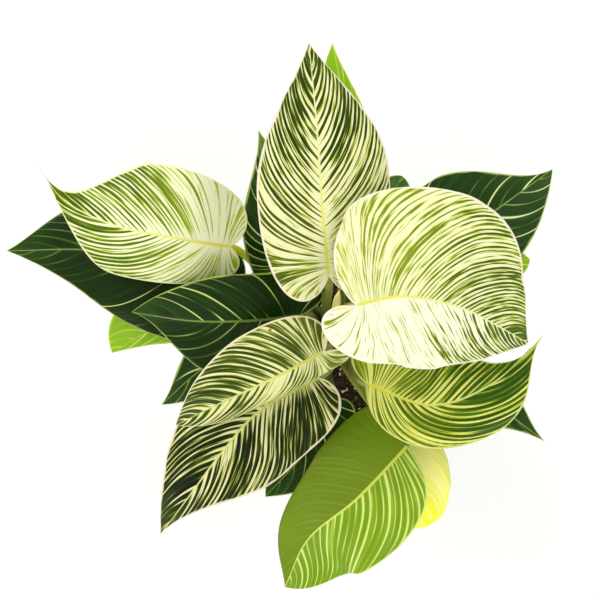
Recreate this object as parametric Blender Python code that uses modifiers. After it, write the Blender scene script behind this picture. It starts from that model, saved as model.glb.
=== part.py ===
"""A potted philodendron with striped heart-shaped leaves, in metres, +Z up.

The origin is the middle of the pot's underside. -Y is the front. Each leaf is one closed body, its blade
and its petiole grown together, and its foot sits against the short stem that stands in the soil.
"""

import math
from collections import namedtuple

import bmesh
import bpy
import numpy as np

COLLECTION = "potted_philodendron"
MM = 0.001  # the sizes below are millimetres
GAP = 0.3  # between pieces that touch

# Pot
POT_HEIGHT = 135.0
POT_TOP_RADIUS = 75.0
POT_FOOT_RADIUS = 53.0
POT_RIM_HEIGHT = 18.0
POT_RIM_STEP = 3.5
POT_WALL = 5.0
POT_FLOOR = 8.0
POT_EDGE = 1.2
TURNED_STEPS = 48

# Soil
SOIL_LEVEL = 119.0
SOIL_EDGE_DROP = 4.0
SOIL_RIPPLE = 1.0
SOIL_RINGS = 6
SOIL_STEPS = 36

# Stem
STEM_RADIUS = 11.0
STEM_FOOT = 92.0
STEM_TOP = 176.0
STEM_STEPS = 20
STEM_RING_SPACING = 11.0
STEM_RING_DEPTH = 0.7
STEM_CAP_SHARE = 0.55  # the flat top's radius as a share of the stem's
CUTTER_OVER = 20.0  # how far a cutter stands out of what it cuts

# Leaf blades and petioles
BLADE_THICKNESS = 0.9
SKIN_OVER_RIB = 0.35
VEIN_ROWS = 11
VEIN_POINTS = 4
LOBE_FAN = 0.25  # share of the veins that spread from the blade's foot into the lobe
RIB_POWER = 1.7
VEIN_BEND = 0.12
LOBE_SHARE = 0.45  # share of the margin that is the lobe's round
PETIOLE_FOOT_RADIUS = 4.0
PETIOLE_TOP_RADIUS = 2.7
RIB_START_RADIUS = 2.3
RIB_END_RADIUS = 0.9
RIB_REACH = 0.55  # share of the blade's length under which the raised midrib runs
PETIOLE_POINTS = 9
PETIOLE_START = 0.35  # share of the stem's radius where the petiole's line begins
PETIOLE_RISE = 70.0  # degrees, how steeply it meets the blade
MARGIN_WAVE = 1.5
MARGIN_WAVES = 2.5
SHARP_ANGLE = 50.0

# The new leaf, still rolled, and the papery sheath that it grew out of: (x, y, z) and radius
SPEAR_ROUTE = [
    ((0, 0, STEM_TOP + GAP), 4.0),
    ((0, 0.4, 190), 4.2),
    ((0.4, 3, 218), 4.2),
    ((1, 9, 255), 3.9),
    ((2, 19, 292), 3.5),
    ((3, 28, 314), 2.6),
    ((4, 33, 326), 0.9),
]
SHEATH_TOP = 250.0
SHEATH_WRAP = 120.0  # degrees each way at its foot
SHEATH_TIP_WRAP = 6.0
SHEATH_ROWS = 8
SHEATH_COLUMNS = 8
SHEATH_FACES = 205.0  # degrees, where its back stands
SHEATH_FLARE = 3.0
SHEATH_THICKNESS = 0.7

Side = namedtuple("Side", "width lobe widest full fold curl spread")
Leaf = namedtuple("Leaf", "name midrib left right foot turn lean colour")


def side(width, lobe=16, widest=0.38, full=0.5, fold=8, curl=-25, spread=0.3):
    """Half a blade: width and lobe in mm, widest as a share of the length, full as how full the tip is,
    fold as the angle at the midrib, curl as the turn from there to the margin, up being positive, and
    spread as how wide of the petiole the lobe opens."""
    return Side(width, lobe, widest, full, fold, curl, spread)


def leaf(name, midrib, left, right, foot, turn=0, lean=28, colour=(0.10, 0.30, 0.04)):
    """A leaf from its midrib's points, foot of the blade first. foot is the height where its petiole leaves
    the stem, turn the angle round the stem from the blade's own, and lean its first lean from upright."""
    return Leaf(name, midrib, left, right, foot, turn, lean, colour)


CREAM = (0.62, 0.66, 0.36)
STRIPED = (0.25, 0.42, 0.10)
DARK = (0.03, 0.10, 0.02)
LIME = (0.35, 0.60, 0.05)
YELLOW = (0.70, 0.78, 0.10)
OLIVE = (0.14, 0.28, 0.02)

LEAVES = [
    leaf("leaf_back_upright", [(-3, 43, 312), (-8, 95, 325), (-12, 152, 320), (-17, 206, 298)],
         side(45, 16, 0.34, 0.32), side(49, 16, 0.42, 0.33, fold=-6, curl=-12), foot=154, lean=22,
         turn=14, colour=CREAM),
    leaf("leaf_right_cream", [(15, 23, 330), (48, 29, 342), (85, 22, 336), (113, 9, 312), (137, -4, 284)],
         side(77, 10, 0.38, 0.28), side(49, 25, 0.33, 0.42, spread=-0.25), foot=158, lean=20,
         turn=-8, colour=CREAM),
    leaf("leaf_left_arching", [(-72, 64, 262), (-110, 70, 274), (-153, 79, 264), (-190, 97, 244),
                               (-209, 122, 248)],
         side(35, 10, 0.47, -0.1, fold=-4), side(50, 10, 0.4, -0.05), foot=138, lean=38, turn=7,
         colour=STRIPED),
    leaf("leaf_far_left_dark", [(-70, 30, 232), (-115, 50, 236), (-170, 62, 226), (-234, 62, 208)],
         side(50, 16, 0.28, 0.3), side(42, 4, 0.5, 0.33), foot=129, lean=44, turn=19, colour=DARK),
    leaf("leaf_left_dark", [(-22, 16, 270), (-60, 12, 277), (-100, 12, 270), (-142, 18, 255)],
         side(42, full=0.1), side(33, full=0.55, fold=14, curl=-15), foot=150, lean=22, turn=6, colour=DARK),
    leaf("leaf_front_left_upper", [(-6, -9, 300), (-38, -26, 306), (-80, -46, 298), (-110, -61, 282)],
         side(30, fold=-20, curl=-80), side(37, 8, 0.34), foot=156, lean=20, turn=-20, colour=STRIPED),
    leaf("leaf_front_left_lower", [(-10, -28, 262), (-52, -52, 264), (-79, -82, 258), (-105, -117, 244),
                                   (-123, -141, 228)],
         side(45, 8, full=0.08), side(41, 7, full=0.42), foot=148, lean=24, turn=22, colour=STRIPED),
    leaf("leaf_front_right", [(23, -32, 270), (69, -47, 280), (112, -32, 272), (150, 3, 258)],
         side(44, full=-0.2), side(32, -4, 0.56, 0.05), foot=146, lean=24, turn=12, colour=STRIPED),
    leaf("leaf_front_half_green", [(53, -77, 246), (17, -114, 254), (-17, -143, 240), (-34, -179, 218)],
         side(46, -3, 0.44, 0.8), side(45, 16, 0.22, 0.36), foot=136, lean=34, turn=0, colour=OLIVE),
    leaf("leaf_front_yellow", [(44, -68, 200), (58, -90, 204), (62, -115, 192), (64, -140, 172)],
         side(25, 8, 0.5, 0.8), side(26, 8, full=0.8), foot=121, lean=44, turn=-11, colour=YELLOW),
    leaf("leaf_right_dark", [(55, 50, 245), (90, 72, 255), (118, 92, 248), (157, 120, 230)],
         side(44, full=0.1), side(40), foot=140, lean=36, turn=-8, colour=DARK),
    leaf("leaf_back_lime", [(10, 62, 238), (14, 115, 250), (8, 165, 246), (0, 210, 232)],
         side(28), side(20, full=0.25), foot=130, lean=34, turn=-7, colour=LIME),
    leaf("leaf_back_left_dark", [(-30, 42, 238), (-40, 80, 246), (-48, 115, 240), (-53, 148, 226)],
         side(26, 7, 0.24, 0.08), side(18), foot=143, lean=28, turn=-12, colour=DARK),
    leaf("leaf_back_small", [(28, 62, 210), (36, 85, 216), (50, 116, 204)],
         side(15, 6, full=0.9), side(17, 6, full=0.9), foot=120, lean=46, turn=-4, colour=STRIPED),
    leaf("leaf_left_lime", [(-60, 17, 176), (-95, 15, 188), (-130, 5, 183), (-160, -12, 168)],
         side(16, full=0.35), side(30, 6, 0.5, 0.9), foot=119, lean=52, turn=-8, colour=LIME),
    leaf("leaf_left_low", [(-40, 2, 212), (-75, -10, 216), (-100, -28, 208), (-123, -49, 196)],
         side(24), side(22, full=0.2), foot=120, lean=46, turn=29, colour=DARK),
    leaf("leaf_front_low", [(0, -45, 214), (-15, -77, 218), (-48, -115, 204)],
         side(26, 5), side(24, 4), foot=119, lean=40, turn=-24, colour=DARK),
    leaf("leaf_right_low", [(40, -35, 222), (85, -42, 230), (120, -52, 222), (153, -75, 208)],
         side(30, full=0.15), side(22, full=0.2), foot=119, lean=48, turn=16, colour=DARK),
    leaf("leaf_right_lime", [(52, 24, 194), (95, 48, 207), (143, 56, 194)],
         side(32, 3, 0.5), side(22, full=0.9), foot=120, lean=48, turn=-13, colour=LIME),
]


def curve_through(points, per_span=12):
    """Points along a smooth curve that passes through each of the given ones."""
    points = np.array(points, float)
    ends = np.vstack([2 * points[0] - points[1], points, 2 * points[-1] - points[-2]])
    path = []
    for a, b, c, d in zip(ends, ends[1:], ends[2:], ends[3:]):
        for t in np.arange(per_span) / per_span:
            square = (2 * a - 5 * b + 4 * c - d) * t * t
            cube = (3 * b - a - 3 * c + d) * t ** 3
            path.append(0.5 * (2 * b + (c - a) * t + square + cube))
    path.append(points[-1])
    return np.array(path)


def bezier(a, b, c, d, t):
    """The point at t on a cubic curve with these four controls."""
    s = 1 - t
    return s ** 3 * a + 3 * s * s * t * b + 3 * s * t * t * c + t ** 3 * d


def unit(vector):
    return vector / np.linalg.norm(vector)


class Midrib:
    """A blade's midrib: where it runs, and which way the blade lies at each distance along it."""

    def __init__(self, points):
        self.path = curve_through(points)
        steps = np.linalg.norm(np.diff(self.path, axis=0), axis=1)
        self.along = np.concatenate([[0], np.cumsum(steps)])
        self.length = self.along[-1]
        self.tangents = np.gradient(self.path, self.along, axis=0)

    def frame(self, along):
        """Point, forward, left and up at a distance from the blade's foot, straight on behind it."""
        inside = min(max(along, 0.0), self.length)
        point = np.array([np.interp(inside, self.along, self.path[:, k]) for k in range(3)])
        forward = unit([np.interp(inside, self.along, self.tangents[:, k]) for k in range(3)])
        point = point + (along - inside) * forward
        left = unit(np.cross([0, 0, 1], forward))
        return point, forward, left, np.cross(forward, left)


def margin(half, length, t):
    """The flat outline of half a blade: distance along the midrib and out from it, at t from 0 to 1."""
    widest = half.widest * length
    if t < LOBE_SHARE:
        t = t / LOBE_SHARE
        along = bezier(0, -1.9 * half.lobe, -1.3 * half.lobe, widest, t)
        return along, half.width * bezier(0, half.spread, 1.05, 1, t)
    t = (t - LOBE_SHARE) / (1 - LOBE_SHARE)
    rest = length - widest
    along = bezier(widest, widest + 0.39 * rest, widest + (0.54 + 0.4 * half.full) * rest, length, t)
    return along, half.width * bezier(1, 1, half.full, 0, t)


def vein_start(v):
    """How far up the midrib the vein v leaves it, as a share of the blade's length."""
    return max(0.0, (v - LOBE_FAN) / (1 - LOBE_FAN)) ** RIB_POWER


def blade_point(plant_leaf, rib, direction, v, w):
    """The blade's upper face at w, 0 to 1 from midrib to margin, along its vein v, 0 to 1 up the leaf."""
    half = plant_leaf.left if direction > 0 else plant_leaf.right
    start = rib.length * vein_start(v)
    end_along, end_out = margin(half, rib.length, v)
    bend = 0.5 * (start + end_along) - VEIN_BEND * end_out
    along = (1 - w) ** 2 * start + 2 * w * (1 - w) * bend + w * w * end_along
    out = w * end_out
    fold = math.radians(half.fold)
    turn = math.radians(half.curl) / half.width
    if abs(turn) < 1e-6:
        across, height = out * math.cos(fold), out * math.sin(fold)
    else:
        across = (math.sin(fold + turn * out) - math.sin(fold)) / turn
        height = (math.cos(fold) - math.cos(fold + turn * out)) / turn
    share = out / half.width
    phase = plant_leaf.foot + (0 if direction > 0 else 2)
    height += MARGIN_WAVE * share * share * math.sin(2 * math.pi * MARGIN_WAVES * v + phase)
    point, _, left, up = rib.frame(along)
    return point + direction * across * left + height * up


def blade_surface(plant_leaf, rib):
    """The open upper face of a blade as a bmesh of triangles whose lines follow the veins."""
    surface = bmesh.new()
    foot = surface.verts.new(rib.frame(0)[0] * MM)
    tip = surface.verts.new(rib.frame(rib.length)[0] * MM)
    ribs = [foot]
    for i in range(1, VEIN_ROWS):
        start = rib.length * vein_start(i / VEIN_ROWS)
        ribs.append(surface.verts.new(rib.frame(start)[0] * MM) if start > 0 else foot)
    for direction in (1, -1):
        veins = []
        for i in range(1, VEIN_ROWS):
            vein = [ribs[i]]
            for j in range(1, VEIN_POINTS + 1):
                place = blade_point(plant_leaf, rib, direction, i / VEIN_ROWS, j / VEIN_POINTS)
                vein.append(surface.verts.new(place * MM))
            veins.append(vein)
        veins.append([tip] * (VEIN_POINTS + 1))
        for near, far in zip(veins, veins[1:]):
            for j in range(VEIN_POINTS):
                corners = [near[j], far[j], far[j + 1], near[j + 1]]
                corners = corners if direction > 0 else corners[::-1]
                face = [c for k, c in enumerate(corners) if c is not corners[k - 1]]
                surface.faces.new(face)
    bmesh.ops.triangulate(surface, faces=surface.faces[:])
    return surface


def petiole_route(plant_leaf, rib):
    """Points and radii of a petiole from inside the stem to the blade's foot, then on under the midrib."""
    foot_point, forward, _, up = rib.frame(0)
    end = foot_point - up * (RIB_START_RADIUS + SKIN_OVER_RIB)
    around = math.atan2(end[1], end[0]) + math.radians(plant_leaf.turn)
    outward = np.array([math.cos(around), math.sin(around), 0])
    lean = math.radians(plant_leaf.lean)
    start = outward * PETIOLE_START * STEM_RADIUS + np.array([0, 0, plant_leaf.foot])
    reach = np.linalg.norm(end - start)
    leave = math.sin(lean) * outward + np.array([0, 0, math.cos(lean)])
    rise = math.radians(PETIOLE_RISE)
    level = unit(np.array([forward[0], forward[1], 0]))
    arrive = math.cos(rise) * level + np.array([0, 0, math.sin(rise)])
    route = []
    for i in range(PETIOLE_POINTS):
        t = i / PETIOLE_POINTS
        point = bezier(start, start + leave * reach * 0.38, end - arrive * reach * 0.30, end, t)
        radius = PETIOLE_FOOT_RADIUS + (PETIOLE_TOP_RADIUS - PETIOLE_FOOT_RADIUS) * t
        route.append((point, radius))
    route.append((end, RIB_START_RADIUS))
    for i in range(1, VEIN_ROWS):
        share = vein_start(i / VEIN_ROWS)
        if not 0.02 < share < RIB_REACH:
            continue
        radius = RIB_START_RADIUS + (RIB_END_RADIUS - RIB_START_RADIUS) * share / RIB_REACH
        point, _, _, up = rib.frame(share * rib.length)
        route.append((point - up * (radius + SKIN_OVER_RIB), radius))
    return route


def new_object(name, mesh, collection):
    made = bpy.data.objects.new(name, mesh)
    collection.objects.link(made)
    return made


def as_mesh(source, name, collection):
    """A plain mesh object of what the source looks like with its modifiers, in the source's place."""
    bpy.context.view_layer.update()
    graph = bpy.context.evaluated_depsgraph_get()
    mesh = bpy.data.meshes.new_from_object(source.evaluated_get(graph))
    welded = bmesh.new()
    welded.from_mesh(mesh)
    bmesh.ops.remove_doubles(welded, verts=welded.verts[:], dist=0.00001)
    welded.to_mesh(mesh)
    welded.free()
    mesh.shade_smooth()
    mesh.set_sharp_from_angle(angle=math.radians(SHARP_ANGLE))
    made = new_object(name, mesh, collection)
    made.matrix_world = source.matrix_world
    bpy.data.objects.remove(source)
    return made


def tube(name, route, collection, resolution=1):
    """A closed tube through points in mm, each with its radius."""
    curve = bpy.data.curves.new(name, "CURVE")
    curve.dimensions = "3D"
    curve.bevel_depth = MM
    curve.bevel_resolution = resolution
    curve.use_fill_caps = True
    spline = curve.splines.new("POLY")
    spline.points.add(len(route) - 1)
    for knot, (point, radius) in zip(spline.points, route):
        knot.co = (*(point * MM), 1)
        knot.radius = radius
    return as_mesh(new_object(name + "_curve", curve, collection), name, collection)


def join(target, other, operation):
    """Adds a live Boolean to the target."""
    modifier = target.modifiers.new(operation.lower(), "BOOLEAN")
    modifier.operation = operation
    modifier.object = other
    modifier.solver = "EXACT"


def material(name, colour, roughness, metallic=0.0):
    made = bpy.data.materials.new(name)
    made.use_nodes = True
    shader = made.node_tree.nodes["Principled BSDF"]
    shader.inputs["Base Color"].default_value = (*colour, 1)
    shader.inputs["Roughness"].default_value = roughness
    shader.inputs["Metallic"].default_value = metallic
    return made


def turned(name, profile, collection, steps=TURNED_STEPS):
    """A solid of revolution from (radius, height) points in mm, down the outer side from top to bottom."""
    mesh = bpy.data.meshes.new(name)
    corners = [(radius * MM, 0, height * MM) for radius, height in profile]
    mesh.from_pydata(corners, [(i, i + 1) for i in range(len(corners) - 1)], [])
    made = new_object(name, mesh, collection)
    screw = made.modifiers.new("turn", "SCREW")
    screw.steps = steps
    screw.render_steps = steps
    screw.use_merge_vertices = True
    screw.merge_threshold = 0.00005
    return made


def inner_radius(height):
    """The pot's inner radius at a height."""
    share = (height - POT_FLOOR) / (POT_HEIGHT - POT_FLOOR)
    return (POT_FOOT_RADIUS + (POT_TOP_RADIUS - POT_RIM_STEP - POT_FOOT_RADIUS) * share) - POT_WALL


def make_pot(collection):
    rim_low = POT_HEIGHT - POT_RIM_HEIGHT
    wall_at_rim = POT_FOOT_RADIUS + (POT_TOP_RADIUS - POT_RIM_STEP - POT_FOOT_RADIUS) * rim_low / POT_HEIGHT
    inner_top = inner_radius(POT_HEIGHT)
    profile = [
        (0, POT_FLOOR),
        (inner_radius(POT_FLOOR), POT_FLOOR),
        (inner_top, POT_HEIGHT - POT_EDGE),
        (inner_top + POT_EDGE, POT_HEIGHT),
        (POT_TOP_RADIUS - POT_EDGE, POT_HEIGHT),
        (POT_TOP_RADIUS, POT_HEIGHT - POT_EDGE),
        (POT_TOP_RADIUS - 1, rim_low + POT_EDGE),
        (POT_TOP_RADIUS - 1 - POT_EDGE, rim_low),
        (wall_at_rim, rim_low),
        (POT_FOOT_RADIUS, POT_EDGE),
        (POT_FOOT_RADIUS - POT_EDGE, 0),
        (0, 0),
    ]
    pot = turned("pot", profile, collection)
    pot.data.materials.append(material("glazed_white", (0.80, 0.79, 0.76), 0.35))


def make_soil(collection, cutters):
    """Potting mix with a low uneven crown, and a plain hole for the stem."""
    floor = POT_FLOOR + GAP
    edge = SOIL_LEVEL - SOIL_EDGE_DROP
    profile = [(0, SOIL_LEVEL)]
    for i in range(1, SOIL_RINGS + 1):
        share = i / SOIL_RINGS
        radius = (inner_radius(edge) - GAP) * share
        ripple = SOIL_RIPPLE * math.sin(5 * share * math.pi) if i < SOIL_RINGS else 0
        profile.append((radius, SOIL_LEVEL - SOIL_EDGE_DROP * share ** 3 + ripple))
    profile += [(inner_radius(floor) - GAP, floor), (0, floor)]
    soil = turned("potting_soil", profile, collection, steps=SOIL_STEPS)
    hole_top = SOIL_LEVEL + CUTTER_OVER
    hole_radius = STEM_RADIUS + GAP
    hole_foot = STEM_FOOT - GAP
    hole_profile = [(0, hole_top), (hole_radius, hole_top), (hole_radius, hole_foot), (0, hole_foot)]
    hole = turned("stem_hole", hole_profile, cutters, steps=SOIL_STEPS)
    hole.hide_render = True
    hole.display_type = "WIRE"
    join(soil, hole, "DIFFERENCE")
    soil.data.materials.append(material("potting_mix", (0.05, 0.035, 0.025), 0.95))


def stem_profile(grow):
    """The stem's outline, with a ring where each old leaf stood, grown outwards by a clearance."""
    profile = [(0, STEM_TOP + grow), (STEM_RADIUS * STEM_CAP_SHARE + grow, STEM_TOP + grow)]
    rings = int((STEM_TOP - STEM_FOOT) / STEM_RING_SPACING)
    for i in range(rings):
        height = STEM_TOP - (i + 0.4) * STEM_RING_SPACING
        profile.append((STEM_RADIUS - STEM_RING_DEPTH + grow, height))
        profile.append((STEM_RADIUS + grow, height - 0.4 * STEM_RING_SPACING))
    profile += [(STEM_RADIUS - STEM_RING_DEPTH + grow, STEM_FOOT - grow), (0, STEM_FOOT - grow)]
    return profile


def make_stem(collection, cutters):
    """The stem, and a cutter a little larger than it, which leaves each petiole its seat on it."""
    stem = turned("stem", stem_profile(0), collection, steps=STEM_STEPS)
    stem.data.materials.append(material("stem_green", (0.16, 0.20, 0.06), 0.6))
    seat = turned("stem_seat", stem_profile(GAP), cutters, steps=STEM_STEPS)
    seat.hide_render = True
    seat.display_type = "WIRE"
    return seat


def spear_at(height):
    """The rolled leaf's middle and radius at a height."""
    heights = [point[2] for point, _ in SPEAR_ROUTE]
    middle = [np.interp(height, heights, [point[k] for point, _ in SPEAR_ROUTE]) for k in range(2)]
    return np.array([*middle, height]), np.interp(height, heights, [radius for _, radius in SPEAR_ROUTE])


def make_spear(collection):
    route = [(np.array(point, float), radius) for point, radius in SPEAR_ROUTE]
    spear = tube("new_leaf_rolled", route, collection, resolution=2)
    spear.data.materials.append(material("new_leaf_cream", (0.80, 0.72, 0.50), 0.4))


def make_sheath(collection):
    """The split papery sheath round the rolled leaf's foot, drawn in to a point that leans away."""
    surface = bmesh.new()
    grid = []
    for i in range(SHEATH_ROWS + 1):
        t = i / SHEATH_ROWS
        middle, radius = spear_at(STEM_TOP + GAP + (SHEATH_TOP - STEM_TOP - GAP) * t)
        radius += GAP + SHEATH_FLARE * t * t
        wrap = SHEATH_TIP_WRAP + (SHEATH_WRAP - SHEATH_TIP_WRAP) * (1 - t * t)
        line = []
        for j in range(SHEATH_COLUMNS + 1):
            angle = math.radians(SHEATH_FACES + wrap * (2 * j / SHEATH_COLUMNS - 1))
            place = middle + radius * np.array([math.cos(angle), math.sin(angle), 0])
            line.append(surface.verts.new(place * MM))
        grid.append(line)
    for low, high in zip(grid, grid[1:]):
        for j in range(SHEATH_COLUMNS):
            surface.faces.new([low[j], low[j + 1], high[j + 1], high[j]])
    bmesh.ops.triangulate(surface, faces=surface.faces[:])
    mesh = bpy.data.meshes.new("leaf_sheath")
    surface.to_mesh(mesh)
    surface.free()
    sheath = new_object("leaf_sheath", mesh, collection)
    thicken = sheath.modifiers.new("thickness", "SOLIDIFY")
    thicken.thickness = SHEATH_THICKNESS * MM
    thicken.offset = 1
    sheath.data.materials.append(material("dry_sheath", (0.20, 0.10, 0.04), 0.8))


def make_leaf(plant_leaf, seat, collection):
    """One leaf: the waved blade given its thickness, joined to its petiole and cut to sit on the stem."""
    rib = Midrib(plant_leaf.midrib)
    surface = blade_surface(plant_leaf, rib)
    mesh = bpy.data.meshes.new(plant_leaf.name + "_blade")
    surface.to_mesh(mesh)
    surface.free()
    blade = new_object(plant_leaf.name + "_blade", mesh, collection)
    thicken = blade.modifiers.new("thickness", "SOLIDIFY")
    thicken.thickness = BLADE_THICKNESS * MM
    thicken.offset = -1
    petiole = tube(plant_leaf.name + "_petiole", petiole_route(plant_leaf, rib), collection)
    join(blade, petiole, "UNION")
    join(blade, seat, "DIFFERENCE")
    made = as_mesh(blade, plant_leaf.name, collection)
    bpy.data.objects.remove(petiole)
    made.data.materials.clear()
    made.data.materials.append(material(plant_leaf.name + "_green", plant_leaf.colour, 0.35))


def main():
    for old in list(bpy.data.objects):
        bpy.data.objects.remove(old, do_unlink=True)
    parts = bpy.data.collections.new(COLLECTION)
    cutters = bpy.data.collections.new("cutters")
    for collection in (parts, cutters):
        bpy.context.scene.collection.children.link(collection)
    make_pot(parts)
    make_soil(parts, cutters)
    seat = make_stem(parts, cutters)
    make_spear(parts)
    make_sheath(parts)
    for plant_leaf in LEAVES:
        make_leaf(plant_leaf, seat, parts)


main()
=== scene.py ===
"""Looks of a potted philodendron with striped leaves, laid out as a Blender add-on and run as a script."""

import math
from collections import namedtuple
from functools import partial
from statistics import NormalDist

import bmesh
import bpy
import numpy as np
from bpy.props import FloatProperty, FloatVectorProperty, IntProperty, PointerProperty
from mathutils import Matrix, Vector, noise


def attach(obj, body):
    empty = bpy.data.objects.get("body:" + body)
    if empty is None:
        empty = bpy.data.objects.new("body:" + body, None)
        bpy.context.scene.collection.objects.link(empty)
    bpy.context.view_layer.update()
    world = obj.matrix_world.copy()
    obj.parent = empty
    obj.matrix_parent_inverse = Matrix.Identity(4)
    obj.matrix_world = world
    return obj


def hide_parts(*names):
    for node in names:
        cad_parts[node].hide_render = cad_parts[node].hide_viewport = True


bl_info = {
    "name": "Potted Striped Philodendron",
    "version": (1, 0, 0),
    "blender": (4, 5, 0),
    "location": "3D View > Sidebar > Philodendron",
    "description": "Dresses the model of a potted philodendron: leaves, stem, potting mix, pot and studio",
    "category": "Add Mesh",
}

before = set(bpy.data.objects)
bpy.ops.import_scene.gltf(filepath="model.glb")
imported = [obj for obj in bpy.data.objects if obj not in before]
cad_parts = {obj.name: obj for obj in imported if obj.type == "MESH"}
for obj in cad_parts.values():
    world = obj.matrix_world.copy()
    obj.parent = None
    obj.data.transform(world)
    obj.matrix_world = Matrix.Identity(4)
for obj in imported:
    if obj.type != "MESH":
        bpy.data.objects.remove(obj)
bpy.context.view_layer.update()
BODY = "root"
MM = 0.001  # the sizes below are millimetres
WELD = 0.000001  # metres between vertices that become one
SHORTEST_EDGE = 0.0000005  # in metres too

# Blades, as the solids have them
LOBE_SHARE = 0.45  # share of the margin that is the lobe's round
MARGIN_WAVE = 1.5
MARGIN_WAVES = 2.5  # from foot to tip
WAVES_APART = 2  # radians between the waves of the two halves
MIDRIB_STEPS = 48  # steps of the midrib's curve between two of its points
LOBE_PULL = (1.9, 1.3)  # how far the lobe's curve is drawn back past the foot, in lobe lengths
LOBE_BULGE = 1.05
TIP_PULL = (0.39, 0.54)  # how far the tip's curve is drawn on, as shares of the way to the tip
FULL_PULL = 0.4  # how much further a full tip is drawn

# Side veins, from the midrib out to the margin
LOBE_FAN = 0.12  # share of them that spread from the blade's foot into the lobe
LOW_VEINS = 0.35  # share of the midrib over which the others leave it evenly
VEIN_CROWDING = (1.3, 4.5)  # how the low and the high ones crowd along it
VEIN_RISE = 0.45  # how far forward a vein has come, as a share, where it bends over to the tip
VEIN_REACH = (0.75, 1.1)  # how far out it is there, in the lobe and at the tip
TIP_CROWDING = 1.4  # how the veins crowd towards the tip
FINE_VEIN_SPACING = 1.7
FINE_VEIN_HEIGHT = 0.35

# Streaks, as shares of the line spacing and of a dash's length, and colours of every blade
FIELD_SPREAD = 0.1  # how far the noise usually lies from its middle
STREAKS = [
    # width, length, weight, detail
    (0.27, 1.0, 0.5, 1.0),
    (0.75, 8.0, 0.45, 1.0),
    (3.5, 3.0, 0.12, 0.0),
]
STREAKS_APART = 7.3  # between their fields of noise
HALO_WIDTH = 9.0
COMB_WANDER = 0.6  # how far the even lines stray from their places
RIB_HALF_WIDTH = (1.3, 0.25)  # of the midrib's colour, at its foot and tip
DRY = "#6e5416"
UNDERSIDE = "#9fb056"

# Blades, finer than the solids
ROW_LENGTH = 1.6  # one vein row for this much of the blade's length
COLUMN_WIDTH = 2.2
RIB_CROWDING = 1.45  # how the columns crowd towards the midrib
MARGIN_THINNING = 0.4  # shares of the thickness that the margin and the tip are without
TIP_THINNING = 0.5
TIP_THINNING_POWER = 6  # how late the tip's sets in
RIB_GROOVE = 0.35
RIB_GROOVE_WIDTH = 1.1
GROOVE_FADE = 0.7  # share of the groove that the tip is without
RIM_BULGE = 0.4  # share of the thickness by which the rim is round
PLEAT_DEPTH = 0.25
PLEAT_SPACING = 8.0  # between the strong side veins
STRIPE_COLUMN = 0.6  # where, from midrib to margin, the stripes' spacing is measured
HALF_APART = 400.0  # mm in the pattern between the two halves of a blade

# Petioles
STEM_RADIUS = 11.0
PETIOLE_FOOT_RADIUS = 4.0
PETIOLE_TOP_RADIUS = 2.7
PETIOLE_START = 0.35  # share of the stem's radius from which it rises
PETIOLE_RISE = 70.0  # degrees from level, where it meets the blade
PETIOLE_POINTS = 30
PETIOLE_PULL = (0.38, 0.30)  # how straight it leaves the stem and meets the blade
RIB_POINTS = 30
RIB_START_RADIUS = 2.3
RIB_END_RADIUS = 0.35
RIB_REACH = 0.9  # share of the blade's length that has it
RIB_POINTS_CROWDING = 1.3  # how its points crowd towards the foot
RIB_TAPER = 0.8
SKIN_OVER_RIB = 0.35
RIB_SINK = 0.1

# Rolled leaf and sheath: (x, y, z) and radius, as the solids have them
GAP = 0.3
STEM_FOOT = 92.0
STEM_TOP = 176.0
SPEAR_ROUTE = [
    ((0, 0, STEM_TOP + GAP), 4.0),
    ((0, 0.4, 190), 4.2),
    ((0.4, 3, 218), 4.2),
    ((1, 9, 255), 3.9),
    ((2, 19, 292), 3.5),
    ((3, 28, 314), 2.6),
    ((4, 33, 326), 0.9),
]
SPEAR_STEPS = 16  # steps of its curve between two of these
SPEAR_RINGS = 90
SPEAR_SIDES = 40
SPEAR_SEAM = 0.16  # the seam's step as a share of the radius
SPEAR_SEAM_GROWTH = 6.0  # the seam's step is whole from the first sixth on
SPEAR_TWIST = 1.3  # turns of the seam from foot to tip
SPEAR_ROUNDING = 9.0  # its last ninth is rounded off
SPEAR_END = 1.02  # share of its length at which the rounding would close
PINSTRIPES = (14.0, 4.0)  # steps of their noise round it and along it
SHEATH_TOP = 250.0
SHEATH_WRAP = 120.0  # degrees to each side at its foot, and at its tip
SHEATH_TIP_WRAP = 6.0
SHEATH_FACES = 205.0  # degrees round from the plant's right
SHEATH_FLARE = 3.0
SHEATH_ROWS = 60
SHEATH_COLUMNS = 40
SHEATH_SKINS = (0.05, 0.4)  # its inner and outer face, over the roll
SHEATH_TEAR = 0.06  # share by which its torn edge strays
SHEATH_RAGS = 9.0  # steps of the noise along its torn edge
SHEATH_FIBRE = 0.25
SHEATH_FIBRES = (5.0, 2.0, 3.0)  # steps of the noise across and along it, and its layer

# Stem rings
STEM_RING_SPACING = 11.0
STEM_RING_DEPTH = 0.7
STEM_CAP_SHARE = 0.55  # of its radius, flat on top
STEM_SCAR = 0.4  # the scar's height as a share of the spacing
STEM_SIDES = 64

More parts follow.
